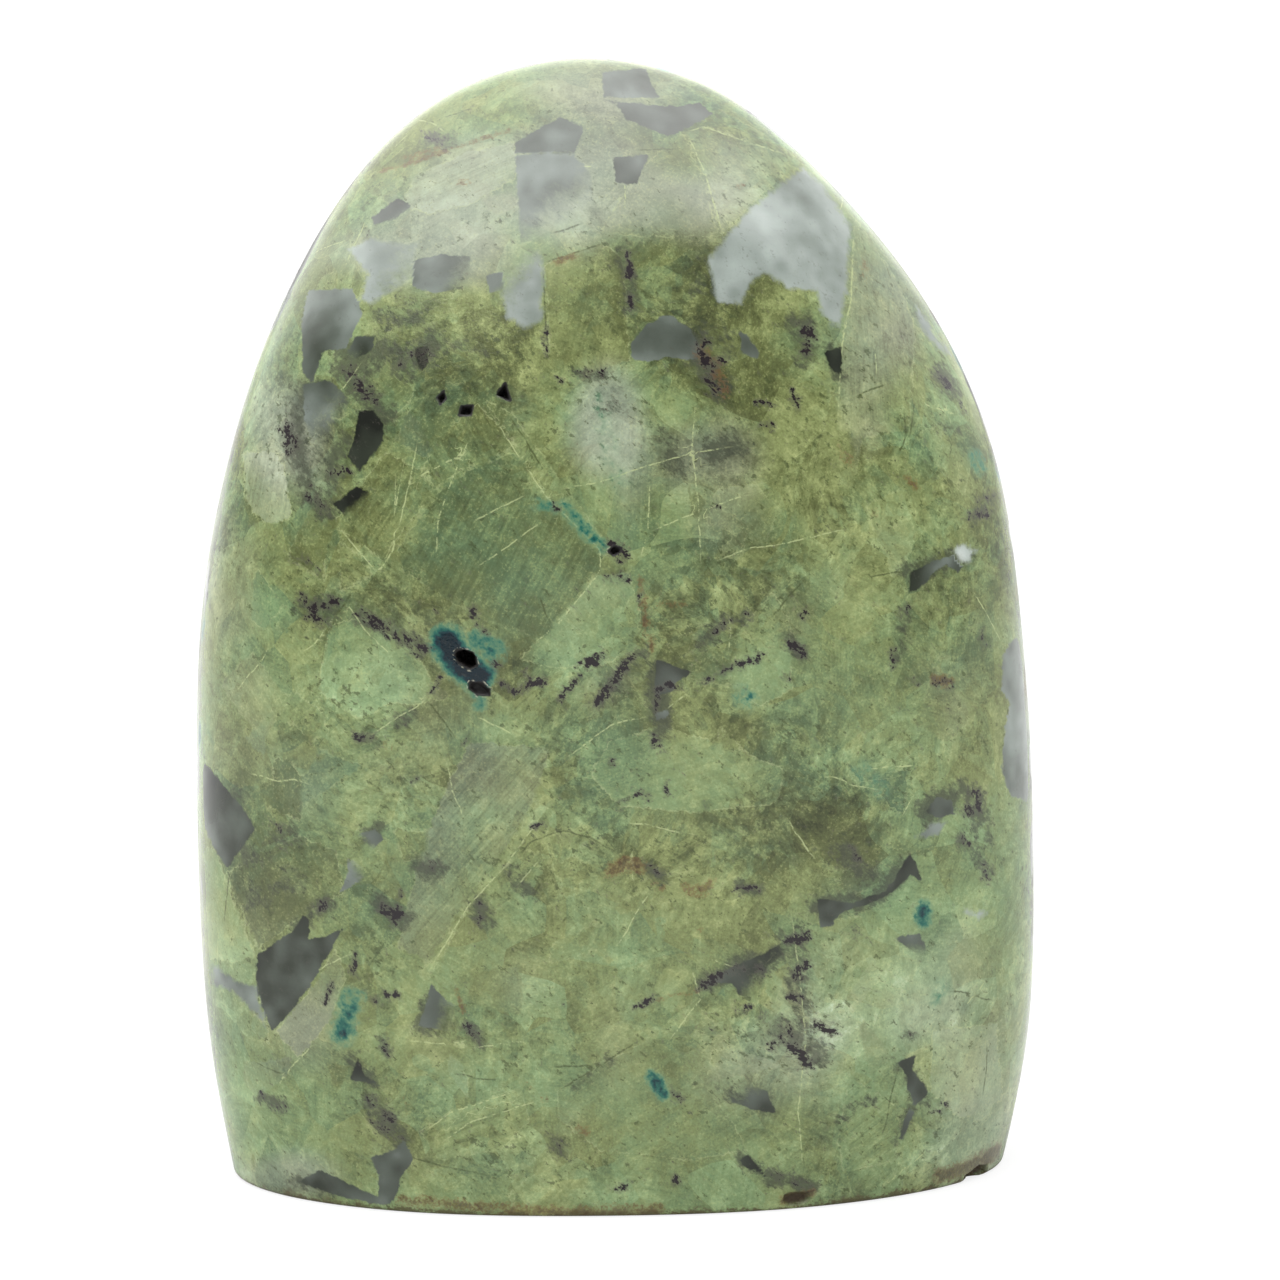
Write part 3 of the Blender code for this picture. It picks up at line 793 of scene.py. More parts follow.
FRONT_SMUDGES = streaks(
    Stain.SMOKE,
    (30, 0.8, (352, 380), (372, 402), (384, 420)), (30, 0.9, (402, 366), (424, 352), (432, 340)),
    (24, 0.9, (346, 350), (372, 346), (396, 352)), (18, 0.7, (376, 312), (396, 322), (420, 318)),
    (16, 0.55, (440, 352), (468, 344), (492, 352)), (22, 0.8, (300, 400), (296, 440), (306, 486)),
    (18, 0.7, (318, 452), (332, 474), (330, 500)), (14, 0.5, (400, 300), (444, 306)),
    (26, 0.8, (690, 340), (706, 368), (720, 392)), (24, 0.7, (792, 322), (808, 348)),
    (12, 0.7, (640, 352), (664, 340), (690, 344)), (18, 0.7, (620, 258), (630, 280), (632, 306)),
    (22, 0.6, (700, 640), (724, 622), (744, 616)), (16, 0.7, (660, 664), (664, 690), (658, 716)),
    (30, 0.7, (788, 940), (796, 980), (802, 1030)), (20, 0.8, (740, 960), (768, 962), (790, 944)),
    (16, 0.6, (820, 900), (860, 896), (900, 876)), (22, 0.6, (960, 800), (976, 812), (984, 840)),
    (26, 1.0, (926, 812), (950, 798)), (24, 0.45, (826, 1134), (850, 1112)),
    (18, 0.8, (647, 868), (660, 878)), (34, 0.9, (348, 372), (376, 352)), (30, 0.9, (406, 366), (430, 346)),
    (26, 0.6, (300, 392), (330, 440)), (22, 0.8, (330, 470), (344, 440)), (22, 0.8, (306, 498), (326, 514)),
    (24, 0.7, (302, 604), (330, 610)), (20, 0.6, (362, 618), (420, 648)), (30, 0.5, (600, 700), (640, 656)),
    (24, 0.9, (656, 676), (662, 730)), (22, 0.7, (790, 640), (800, 654)), (26, 0.8, (694, 352), (722, 384)),
    (24, 0.7, (806, 322), (804, 356)), (20, 0.6, (622, 250), (634, 306)), (18, 0.8, (830, 350), (840, 376)),
    (22, 0.8, (940, 372), (952, 392)), (18, 0.6, (906, 610), (896, 658)), (24, 0.7, (908, 574), (960, 556)),
    (26, 0.8, (968, 790), (982, 812)), (20, 0.6, (960, 836), (988, 872)), (30, 0.7, (840, 850), (870, 876)),
    (22, 0.8, (815, 905), (870, 900), (905, 868)), (26, 0.8, (705, 985), (770, 960)),
    (34, 0.7, (790, 940), (800, 1000)), (30, 0.7, (780, 1030), (820, 1056)),
    (22, 0.6, (720, 1090), (768, 1106)), (20, 0.6, (900, 1064), (924, 1100)),
    (16, 0.6, (898, 1140), (912, 1108)), (22, 0.8, (770, 1176), (806, 1184)),
    (24, 0.9, (380, 904), (404, 918)), (22, 0.8, (476, 900), (484, 924)), (22, 0.7, (510, 876), (532, 892)),
    (22, 0.7, (416, 866), (438, 868)), (22, 0.8, (368, 836), (376, 826)), (20, 0.7, (300, 926), (326, 902)),
    (30, 0.6, (250, 856), (290, 836)), (34, 0.5, (256, 900), (300, 880)),
    (22, 0.9, (430, 1004), (424, 1024)), (22, 0.8, (352, 1060), (370, 1080)),
    (22, 0.8, (370, 1104), (400, 1140)), (22, 0.7, (300, 1180), (330, 1190)),
    (16, 0.7, (384, 1040), (388, 1052)), (16, 0.7, (470, 1028), (482, 1044)),
    (18, 0.7, (548, 1140), (562, 1150)), (18, 0.8, (400, 722), (410, 716)),
    (16, 0.7, (364, 736), (374, 742)), (26, 0.7, (665, 440), (676, 470)), (30, 0.8, (712, 452), (738, 446)),
    (26, 0.6, (700, 330), (742, 350)), (26, 0.4, (700, 250), (700, 290)), (16, 0.6, (576, 374), (608, 374)),
    (24, 0.5, (604, 400), (624, 410)), (20, 0.7, (430, 140), (450, 142)), (24, 0.5, (520, 140), (560, 150)),
    (14, 0.8, (740, 886), (758, 892)), (16, 0.8, (742, 1158), (760, 1170)),
    (22, 0.5, (240, 790), (226, 850)), (22, 0.6, (990, 500), (972, 520)), (16, 0.6, (940, 424), (956, 430)),
    (22, 0.5, (850, 1110), (872, 1098)), (16, 0.5, (608, 1060), (574, 1088)),
    (16, 0.8, (264, 1098), (282, 1108)), (14, 0.7, (906, 1034), (914, 1036)),
    (16, 0.3, (640, 760), (646, 800)), (20, 0.4, (540, 826), (620, 852)),
)

HEALED_CRACKS = (
    ((556, 490), (600, 482), (640, 468), (664, 461), (692, 453), (738, 446)),
    ((648, 532), (698, 512), (742, 496), (756, 494)),
    ((714, 562), (748, 548), (778, 545), (806, 538), (852, 528)),
    ((696, 398), (692, 450), (698, 500), (701, 568)), ((544, 520), (516, 540), (500, 552), (476, 568)),
    ((484, 402), (512, 446), (546, 496), (600, 550), (600, 572), (560, 622), (512, 662)),
    ((472, 432), (452, 480), (438, 520), (436, 560)), ((396, 470), (394, 548), (378, 574), (336, 524)),
    ((418, 440), (410, 480), (398, 530)), ((650, 480), (648, 530), (640, 560)),
    ((688, 134), (706, 176), (716, 210), (723, 236)), ((684, 132), (704, 127), (790, 156)),
    ((854, 220), (851, 300), (842, 344), (837, 432)), ((560, 762), (580, 748), (612, 724), (650, 716)),
    ((424, 1132), (452, 1112), (520, 1090)), ((440, 1144), (470, 1122), (540, 1100)),
    ((548, 806), (504, 868), (468, 906), (426, 976)),
    ((790, 900), (800, 980), (806, 1040), (798, 1110), (804, 1180)), ((668, 1042), (700, 1000), (690, 960)),
    ((404, 1040), (440, 1044), (470, 1040)),
)

OPEN_CRACKS = (
    ((543, 263), (605, 243)), ((543, 266), (546, 330), (549, 352)),
    ((506, 872), (530, 842), (562, 830), (592, 838), (618, 854), (630, 866)),
    ((508, 414), (524, 438), (546, 474)), ((640, 1040), (602, 1064), (576, 1080), (556, 1092)),
    ((406, 1156), (442, 1166), (492, 1176)), ((934, 420), (944, 428), (956, 428)), ((868, 577), (906, 571)),
    ((904, 410), (906, 436), (898, 456)), ((514, 872), (532, 876), (540, 884), (532, 898)),
    ((560, 926), (570, 912)), ((656, 660), (656, 722)),
)

FRONT_VEINS = (*(Vein(path) for path in HEALED_CRACKS), *(Vein(path, dark=True) for path in OPEN_CRACKS))


class Kind(Enum):
    """Kinds of markings that are drawn from a seed."""

    PLATES = auto()
    HAIRS = auto()
    CRYSTALS = auto()
    WINDOWS = auto()
    CLUSTERS = auto()
    SMUDGES = auto()
    VEINS = auto()
    TEAL = auto()
    RUST = auto()


Lot: TypeAlias = tuple[tuple[Kind, int], ...]


@dataclass(frozen=True)
class OwnMarkings:
    """Markings drawn from a seed.

    The first lot is small and lies all over the stone, under what the picture shows. The second lot
    is for the sides and the back, which the picture does not show.
    """

    seed: int = 27
    everywhere: Lot = ((Kind.PLATES, 330), (Kind.HAIRS, 150))
    unseen: Lot = (
        (Kind.CRYSTALS, 46), (Kind.WINDOWS, 46), (Kind.CLUSTERS, 130), (Kind.SMUDGES, 80),
        (Kind.VEINS, 26), (Kind.TEAL, 7), (Kind.RUST, 16))
    sheet_reach: float = 0.016

    def shape(self, chance: np.random.Generator, size: float) -> Outline:
        """Makes an angular outline about the middle of a sheet.

        Args:
            chance: Source of random numbers.
            size: About how far the corners are from the middle, in millimetres.

        Returns:
            Between four and six corners.
        """
        corners = int(chance.integers(4, 7))
        turns = np.sort(chance.uniform(0, 2 * math.pi, corners))
        reach = size * chance.uniform(0.55, 1.25, corners)
        stretch = chance.uniform(0.5, 1.0)
        tilt = chance.uniform(0, math.pi)
        return tilted(reach * np.cos(turns), stretch * reach * np.sin(turns), tilt)

    def trail(self, chance: np.random.Generator, length: float, bends: int) -> Outline:
        """Makes a wandering path through the middle of a sheet.

        Args:
            chance: Source of random numbers.
            length: Length of the path, in millimetres.
            bends: Number of points on it.

        Returns:
            The points of the path.
        """
        tilt = chance.uniform(0, math.pi)
        along = np.linspace(-0.5, 0.5, bends) * length
        aside = np.cumsum(chance.normal(0, 0.13, bends)) * length / bends
        return tilted(along, aside, tilt)

    def on_one_place(self, chance: np.random.Generator, kind: Kind) -> list[Marking]:
        """Makes the markings of one kind at one place.

        Args:
            chance: Source of random numbers.
            kind: Kind of the markings.

        Returns:
            The markings.
        """
        if kind is Kind.PLATES:
            return [Crystal(self.shape(chance, chance.uniform(1.2, 4.5)), chance.normal(0, 0.16),
                            chance.normal(0, 0.22), max(0.0, chance.normal(0, 0.12)),
                            chance.uniform(-90, 90), chance.uniform(0.2, 0.8), chance.uniform(-0.1, 0.4))]
        if kind is Kind.CRYSTALS:
            return [Crystal(self.shape(chance, chance.uniform(3.0, 7.5)), chance.normal(0, 0.30),
                            chance.normal(0, 0.3), max(0.0, chance.normal(0.05, 0.2)),
                            chance.uniform(-90, 90), chance.uniform(0.2, 0.9), chance.uniform(0.0, 0.7))]
        if kind is Kind.WINDOWS:
            return [QuartzWindow(self.shape(chance, chance.uniform(1.2, 6.5)),
                                 float(chance.choice([0.08, 0.14, 0.20, 0.32, 0.58])),
                                 (0.0, 0.0), tuple(chance.normal(0, 11, 2).tolist()))]
        if kind is Kind.CLUSTERS:
            spread = chance.normal(0, 1.3, (int(chance.integers(1, 5)), 2))
            lean = chance.uniform(0.2, 1.1)
            half = np.array([math.cos(lean), math.sin(lean)])
            return [Streak(Stain.SPECK, 0.8 + 0.7 * s, chance.uniform(0.8, 1.2),
                           (tuple(p - half * s), tuple(p + half * s)))
                    for p, s in zip(spread, chance.uniform(0.2, 0.8, len(spread)))]
        if kind in (Kind.VEINS, Kind.HAIRS):
            length = chance.uniform(0.3, 1.0) * (18.0 if kind is Kind.VEINS else 7.0)
            return [Vein(self.trail(chance, length, 5), bool(chance.random() < 0.35))]
        if kind is Kind.SMUDGES:
            path = self.trail(chance, chance.uniform(0.3, 2.0), 3)
            return [Streak(Stain.SMOKE, chance.uniform(0.6, 1.9), chance.uniform(0.6, 1.1), path)]
        stain = Stain.TEAL if kind is Kind.TEAL else Stain.RUST
        path = self.trail(chance, chance.uniform(0.4, 2.4), 3)
        return [Streak(stain, chance.uniform(0.7, 1.8), chance.uniform(0.5, 1.0), path)]

    def draw(self, layers: Layers, points: Array, normals: Array, shown: Array, lot: Lot) -> None:
        """Draws one lot of markings, each at a place of its own.

        Args:
            layers: Where the markings are drawn.
            points: Points of the stone.
            normals: The way that the surface faces at each point.
            shown: How much of the lot shows at each point, from 0 to 1.
            lot: The lot: each kind, and how many places of the stone get it.
        """
        chance = np.random.default_rng(self.seed)
        area = np.flatnonzero(shown > 0.9)
        for kind, count in lot:
            for _ in range(count):
                # A place in the box of the points, so that dense parts of the mesh get no more
                place = chance.uniform(points[area].min(axis=0), points[area].max(axis=0))
                middle = int(area[np.argmin(np.square(points[area] - place).sum(axis=1))])
                sheet = self.sheet_at(middle, points, normals, shown)
                for marking in self.on_one_place(chance, kind):
                    marking.draw(layers, sheet)

    def sheet_at(self, middle: int, points: Array, normals: Array, shown: Array) -> Sheet:
        """Lays the surface round one point flat.

        Args:
            middle: Number of the point.
            points: Points of the stone.
            normals: The way that the surface faces at each point.
            shown: How much of what is drawn shows at each point, from 0 to 1.

        Returns:
            The sheet, in millimetres.
        """
        outwards = normals[middle]
        offset = points - points[middle]
        close = np.flatnonzero((np.square(offset).sum(axis=1) < self.sheet_reach**2)
                               & (normals @ outwards > 0.2))
        side = np.cross(outwards, (0.3, 0.2, 1.0))
        side /= np.linalg.norm(side)
        up = np.cross(outwards, side)
        places = np.stack([offset[close] @ side, offset[close] @ up], axis=-1) / MM
        return Sheet(close, places, shown[close], 1.0)


# The form of the stone


@dataclass(frozen=True)
class Hollow:
    """A small natural hollow in the front."""

    right: float
    height: float
    long_way: float
    short_way: float
    deep: float
    turn: float
    corners: int

    def gap(self, points: Array) -> Array:
        """Measures how far points are from its middle, as seen from the front."""
        return np.hypot(points[:, 0] - self.right, points[:, 2] - self.height)


HOLLOWS = {
    "stained_vug": Hollow(-0.0153, 0.0503, 0.0021, 0.0015, 0.0024, -36.0, 9),
    "sparkling_pit": Hollow(-0.0141, 0.0477, 0.0022, 0.0011, 0.0005, -20.0, 6),
    "upper_pit": Hollow(-0.0117, 0.0736, 0.0021, 0.0014, 0.0012, 108.0, 3),
    "middle_pit": Hollow(-0.0151, 0.0720, 0.0015, 0.0013, 0.0009, 40.0, 4),
    "little_pit": Hollow(-0.0171, 0.0730, 0.0011, 0.0007, 0.0007, 80.0, 4),
    "centre_pit": Hollow(-0.0022, 0.0597, 0.0011, 0.0009, 0.0006, 15.0, 5),
    "rim_chip": Hollow(0.0141, 0.0009, 0.0032, 0.0018, 0.0004, 0.0, 7),
    "corner_chip": Hollow(0.0322, 0.0004, 0.0050, 0.0018, 0.0006, 4.0, 6),
}


@dataclass(frozen=True)
class StoneForm:
    """The smooth form of the stone, through the same levels and flats as its solid.

    A least-squares fit to the stone's outline in the picture gave most numbers of the levels.
    """

    low: Array
    high: Array
    levels: tuple[tuple[float, ...], ...] = (
        (0.000, 0.932, 0.943, 0.0005, 0.0000, 2.00),
        (0.120, 0.997, 0.970, 0.0006, 0.0000, 2.25),
        (0.250, 1.003, 0.998, 0.0002, 0.0000, 2.50),
        (0.380, 1.000, 1.001, 0.0000, 0.0000, 2.50),
        (0.500, 0.982, 0.982, -0.0004, 0.0001, 2.50),
        (0.610, 0.940, 0.940, -0.0001, 0.0003, 2.45),
        (0.710, 0.864, 0.866, -0.0002, 0.0006, 2.40),
        (0.800, 0.747, 0.765, -0.0008, 0.0011, 2.30),
        (0.875, 0.604, 0.645, -0.0019, 0.0014, 2.20),
        (0.935, 0.455, 0.515, -0.0026, 0.0017, 2.10),
        (0.975, 0.307, 0.375, -0.0024, 0.0019, 2.05),
        (0.995, 0.139, 0.180, -0.0023, 0.0020, 2.00),
        (1.000, 0.000, 0.000, -0.0022, 0.0020, 2.00),
    )
    flats: tuple[tuple[float, float, float, float], ...] = (
        (-4.0, 0.0, 0.0010, 0.0011),
        (-22.0, 34.0, 0.0007, 0.0009),
        (16.0, 44.0, 0.0008, 0.0009),
        (52.0, 30.0, 0.0006, 0.0008),
        (176.0, 0.0, 0.0012, 0.0012),
        (150.0, 40.0, 0.0010, 0.0010),
        (215.0, 36.0, 0.0011, 0.0010),
    )

    def rows(self, along: Array) -> Array:
        """Reads the smooth curve that the levels are the handles of.

        Args:
            along: Places on the curve, from 0 at the base to the number of the last level.

        Returns:
            One row for each place, with the columns of the levels.
        """
        levels = np.array(self.levels)
        last = len(levels) - 1
        mirrored = levels[last - 1] * (1, -1, -1, 1, 1, 1)
        handles = np.vstack([2 * levels[0] - levels[1], levels, mirrored])
        first = np.minimum(along.astype(int), last - 1)
        t = (along - first)[:, None]
        return ((1 - t) ** 3 * handles[first]
                + (3 * t**3 - 6 * t**2 + 4) * handles[first + 1]
                + (-3 * t**3 + 3 * t**2 + 3 * t + 1) * handles[first + 2]
                + t**3 * handles[first + 3]) / 6

    def points(self, along: Array, angles: Array) -> Array:
        """Works out points of the form.

        Args:
            along: Places on the curve of levels, the whole of it.
            angles: Angles round the stone, in radians; the front is at -90 degrees.

        Returns:
            Points in rings, from the base to the top.
        """
        size = self.high - self.low
        height, width, depth, right, back, squareness = self.rows(along).T[:, :, None]
        x, y = np.cos(angles), np.sin(angles)
        reach = (np.abs(x) ** squareness + np.abs(y) ** squareness) ** (-1 / squareness)
        rings = np.stack([x * reach * width * size[0] / 2 + right,
                          y * reach * depth * size[1] / 2 + back,
                          height * size[2] + 0 * x], axis=-1)
        for azimuth, elevation, deep, soft in self.flats:
            outwards = facing(azimuth, elevation)
            distance = rings @ outwards
            over = (distance - distance.max() + deep) / soft
            rings = rings - outwards * (soft * np.logaddexp(0.0, over))[..., None]
        low, high = rings.min(axis=(0, 1)), rings.max(axis=(0, 1))
        return self.low + (rings - low) * size / (high - low)


def even_steps(length: Array, spacing: Array, samples: Array) -> Array:
    """Places steps so that they are as far apart as the spacing asks.

    Args:
        length: Distance from each sample to the next.
        spacing: Wanted distance between steps at each of those stretches.
        samples: The samples, one more than the stretches.

    Returns:
        Samples at the steps, with the first and the last one included.
    """
    steps = np.concatenate([[0.0], np.cumsum(length / spacing)])
    count = int(math.ceil(steps[-1]))
    return np.interp(np.linspace(0.0, steps[-1], count + 1), steps, samples)


@dataclass
class FeldsparStone:
    """The stone: its fine mesh, its markings and its finish."""

    node: str = "feldspar"
    front_spacing: float = 0.00053
    back_spacing: float = 0.00125
    rim: float = 0.00045
    rim_rows: int = 5
    base_rings: int = 10
    ripple_depth: float = 0.00002
    ripple_length: float = 0.016
    ripple_seed: int = 4
    fine_reach: float = 0.28
    seen_from: float = 0.10
    seen_fully: float = 0.26
    camera: PhotoCamera = field(default_factory=PhotoCamera)

    def build(self) -> bpy.types.Object:
        """Builds the stone in place of its plain solid.

        Returns:
            The stone.
        """
        low, high = (np.array(corner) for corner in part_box(self.node))
        mesh = bpy.data.meshes.new("polished_feldspar")
        self.lay_rings(mesh, StoneForm(low, high))
        self.refine(mesh)
        layers = self.draw_markings(mesh)
        self.sink_hollows(mesh, layers)
        layers.write(mesh)
        mesh.shade_smooth()
        mesh.materials.append(StoneFinish().material())
        stone = bpy.data.objects.new("polished_feldspar", mesh)
        bpy.context.scene.collection.objects.link(stone)
        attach(stone, "root")
        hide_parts(self.node)
        return stone

    def grid(self, form: StoneForm) -> tuple[Array, Array]:
        """Chooses where rows and columns of the mesh run, closer together on the front.

        Args:
            form: The form of the stone.

        Returns:
            Places of the rows on the curve of levels, and angles of the columns.
        """
        last = len(form.levels) - 1
        along = np.linspace(0.0, last, 961)
        angles = np.linspace(-1.5 * math.pi, 0.5 * math.pi, 1441)
        coarse = form.points(along, angles)
        columns = coarse[:, ::240]
        heights = np.linalg.norm(np.diff(columns, axis=0), axis=-1).max(axis=1)
        rows = even_steps(heights, np.full(len(heights), self.front_spacing), along)
        widest = coarse[len(coarse) // 3]
        widths = np.linalg.norm(np.diff(widest, axis=0), axis=-1)
        middles = (angles[1:] + angles[:-1]) / 2
        behind = smooth(np.sin(middles), 0.15, 0.75)
        spacing = self.front_spacing + (self.back_spacing - self.front_spacing) * behind
        return rows, even_steps(widths, spacing, angles)[:-1]

    def lay_rings(self, mesh: bpy.types.Mesh, form: StoneForm) -> None:
        """Lays the mesh in rings from the middle of the base, up the sides, to the top.

        Args:
            mesh: The empty mesh.
            form: The form of the stone.
        """
        rows, angles = self.grid(form)
        rings = form.points(rows, angles)
        top = rings[-1].mean(axis=0)
        sides = self.wear_rim(self.ripple(rings[:-1]))
        middle = sides[0].mean(axis=0)
        shares = np.linspace(0.0, 1.0, self.base_rings + 1)[1:-1, None, None]
        base = middle + (sides[0] - middle) * shares
        rings = np.concatenate([base, sides])
        count, wide = rings.shape[:2]
        numbers = np.arange(count * wide).reshape(count, wide)
        after = np.roll(numbers, -1, axis=1)
        quads = np.stack([numbers[:-1], after[:-1], after[1:], numbers[1:]], axis=-1).reshape(-1, 4)
        bottom, crown = count * wide, count * wide + 1
        fans = [(bottom, b, a) for a, b in zip(numbers[0].tolist(), after[0].tolist())]
        fans += [(a, b, crown) for a, b in zip(numbers[-1].tolist(), after[-1].tolist())]
        points = np.concatenate([rings.reshape(-1, 3), [middle, top]])
        mesh.from_pydata(points.tolist(), [], quads.tolist() + fans)
        mesh.update()

    def ripple(self, rings: Array) -> Array:
        """Adds the slight unevenness of grinding by hand, inwards only.

        Args:
            rings: Points in rings.

        Returns:
            The points after it.
        """
        chance = np.random.default_rng(self.ripple_seed)
        wave = np.zeros(rings.shape[:2])
        for _ in range(10):
            run = chance.normal(0, 1, 3)
            run *= 2 * math.pi / (np.linalg.norm(run) * self.ripple_length * chance.uniform(0.6, 1.8))
            wave += np.sin(rings @ run + chance.uniform(0, 2 * math.pi)) / 10
        middle = rings.mean(axis=(0, 1))
        inwards = (middle - rings) / np.linalg.norm(middle - rings, axis=-1, keepdims=True)
        inwards[0, :, 2] = 0.0
        return rings + inwards * (self.ripple_depth * (1 + wave))[..., None]

    def wear_rim(self, rings: Array) -> Array:
        """Rounds the edge between the sawn base and the sides.

        Args:
            rings: Points in rings, the first of them on the base.

        Returns:
            The rings, with a few more of them near the base.
        """
        height = rings[:, :, 2].mean(axis=1)
        kept = rings[height > self.rim]
        turns = np.linspace(0.0, 0.5 * math.pi, self.rim_rows)
        levels = self.rim * (1 - np.cos(turns))
        inset = self.rim * (1 - np.sin(turns))
        above = int(np.argmax(height > self.rim))
        rounded = []
        for level, step in zip(levels, inset):
            share = level / height[above]
            ring = rings[0] * (1 - share) + rings[above] * share
            outwards = ring - ring.mean(axis=0)
            outwards[:, 2] = 0.0
            outwards /= np.linalg.norm(outwards, axis=1, keepdims=True)
            ring = ring - outwards * step
            ring[:, 2] = level + rings[0, :, 2].min()
            rounded.append(ring)
        return np.concatenate([rounded, kept])

    def refine(self, mesh: bpy.types.Mesh) -> None:
        """Divides the faces round the hollows and along the edges of the windows of the front."""
        for reach in (1.6, 0.8):
            points = point_rows(mesh)
            close = np.zeros(len(points), bool)
            if reach > 1:
                layers = Layers(len(points))
                sheet = self.front_sheet(points, normal_rows(mesh))
                for window in FRONT_WINDOWS.values():
                    window.draw(layers, sheet)
                close |= np.abs(layers.quartz) < self.fine_reach * reach
            for hollow in HOLLOWS.values():
                around = hollow.gap(points) < hollow.long_way * 0.5 + 0.0005 * reach
                close |= around & (points[:, 1] < 0)
            shape = bmesh.new()
            shape.from_mesh(mesh)
            shape.verts.ensure_lookup_table()
            faces = [f for f in shape.faces if any(close[v.index] for v in f.verts)]
            edges = list({edge for face in faces for edge in face.edges})
            bmesh.ops.subdivide_edges(shape, edges=edges, cuts=1, use_grid_fill=True)
            shape.to_mesh(mesh)
            shape.free()

    def front_sheet(self, points: Array, normals: Array) -> Sheet:
        """Lays the front flat, as the picture shows it.

        Args:
            points: Points of the stone.
            normals: The way that the surface faces at each point.

        Returns:
            The sheet, in pixels of the picture; it runs out where the stone turns away.
        """
        towards = self.camera.eye() - points
        towards /= np.linalg.norm(towards, axis=1, keepdims=True)
        weight = smooth((towards * normals).sum(axis=1), self.seen_from, self.seen_fully)
        index = np.flatnonzero(weight > 0)
        places = self.camera.picture_places(points[index])
        return Sheet(index, places, weight[index], self.camera.pixel_mm())

    def draw_markings(self, mesh: bpy.types.Mesh) -> Layers:
        """Draws the markings on the points of the mesh.

        Args:
            mesh: The mesh of the stone.

        Returns:
            The layers.
        """
        points = point_rows(mesh)
        normals = normal_rows(mesh)
        layers = Layers(len(points))
        self.spread_clouds(layers, points / MM)
        own = OwnMarkings()
        own.draw(layers, points, normals, np.ones(len(points)), own.everywhere)
        sheet = self.front_sheet(points, normals)
        unseen = np.ones(len(points))
        unseen[sheet.index] = 1 - sheet.weight
        own.draw(layers, points, normals, unseen, own.unseen)
        for lot in (FRONT_CRYSTALS.values(), FRONT_WINDOWS.values(), FRONT_PATCHES, FRONT_STAINS,
                    FRONT_SPECKS, FRONT_SMUDGES, FRONT_VEINS):
            for marking in lot:
                marking.draw(layers, sheet)
        return layers

    def spread_clouds(self, layers: Layers, mm: Array) -> None:
        """Gives the whole stone its soft unevenness.

        Args:
            layers: Where it is drawn.
            mm: Points of the stone, in millimetres.
        """
        layers.tint[:, 0] = 0.42 * clouds(mm, 9.0, 3, 1)
        layers.tint[:, 1] = 0.50 * clouds(mm, 7.0, 3, 2)
        layers.tint[:, 2] = 0.25 * clouds(mm, 8.0, 2, 3)
        layers.crust[:] = np.clip(0.25 + 0.7 * clouds(mm, 8.0, 2, 4), 0.0, 1.0)
        layers.quartz_look[:, 2] = clouds(mm, 4.5, 3, 5)
        layers.drift[:] = np.stack([clouds(mm, 7.0, 2, seed) for seed in (6, 7, 8)], axis=-1) * 0.9

    def sink_hollows(self, mesh: bpy.types.Mesh, layers: Layers) -> None:
        """Presses the hollows into the mesh.

        Args:
            mesh: The mesh of the stone.
            layers: Where their outlines are kept for the finish.
        """
        points = point_rows(mesh)
        normals = normal_rows(mesh)
        chance = np.random.default_rng(11)
        moved = points.copy()
        for hollow in HOLLOWS.values():
            middle = int(np.argmin(np.where(points[:, 1] < 0, hollow.gap(points), np.inf)))
            outwards = Vector(normals[middle])
            turn = outwards.to_track_quat("Z", "Y").to_matrix()
            side, up = np.array(turn.col[0]), np.array(turn.col[1])
            offset = (points - points[middle]) / MM
            near = np.flatnonzero((np.linalg.norm(offset, axis=1) < 4 * hollow.long_way / MM)
                                  & (normals @ normals[middle] > 0.3))
            places = np.stack([offset[near] @ side, offset[near] @ up], axis=-1)
            distance = outline_distance(places, self.mouth(hollow, chance))
            layers.hollow[near] = np.minimum(layers.hollow[near], distance)
            wall = hollow.short_way / MM * 0.22
            depth = smooth(-distance, -0.02, wall) * hollow.deep
            depth *= 1 + 0.25 * np.sin(places[:, 0] * 9 + 1) * np.sin(places[:, 1] * 11)
            moved[near] -= normals[middle] * depth[:, None]
        moved[:, 2] = np.maximum(moved[:, 2], points[:, 2].min())
        mesh.vertices.foreach_set("co", moved.ravel())
        mesh.update()

    def mouth(self, hollow: Hollow, chance: np.random.Generator) -> Outline:
        """Makes the ragged outline of a hollow's mouth.

        Args:
            hollow: The hollow.
            chance: Source of random numbers.

        Returns:
            Its corners, in millimetres about the hollow's middle.
        """
        turns = np.arange(hollow.corners) / hollow.corners * 2 * math.pi
        turns += chance.uniform(-0.15, 0.15, hollow.corners)
        reach = chance.uniform(0.88, 1.1, hollow.corners) / 2
        x = -np.sin(turns) * reach * hollow.long_way / MM
        y = np.cos(turns) * reach * hollow.short_way / MM
        return tilted(x, y, math.radians(hollow.turn))


def point_rows(mesh: bpy.types.Mesh) -> Array:
    """Reads the points of a mesh, one row each."""
    rows = np.empty(len(mesh.vertices) * 3, np.float32)
    mesh.vertices.foreach_get("co", rows)
    return rows.reshape(-1, 3).astype(float)


def normal_rows(mesh: bpy.types.Mesh) -> Array:
    """Reads the way a mesh faces at each of its points, one row each."""
    rows = np.empty(len(mesh.vertices) * 3, np.float32)
    mesh.vertex_normals.foreach_get("vector", rows)
    return rows.reshape(-1, 3).astype(float)


# The node board on which finishes are laid out


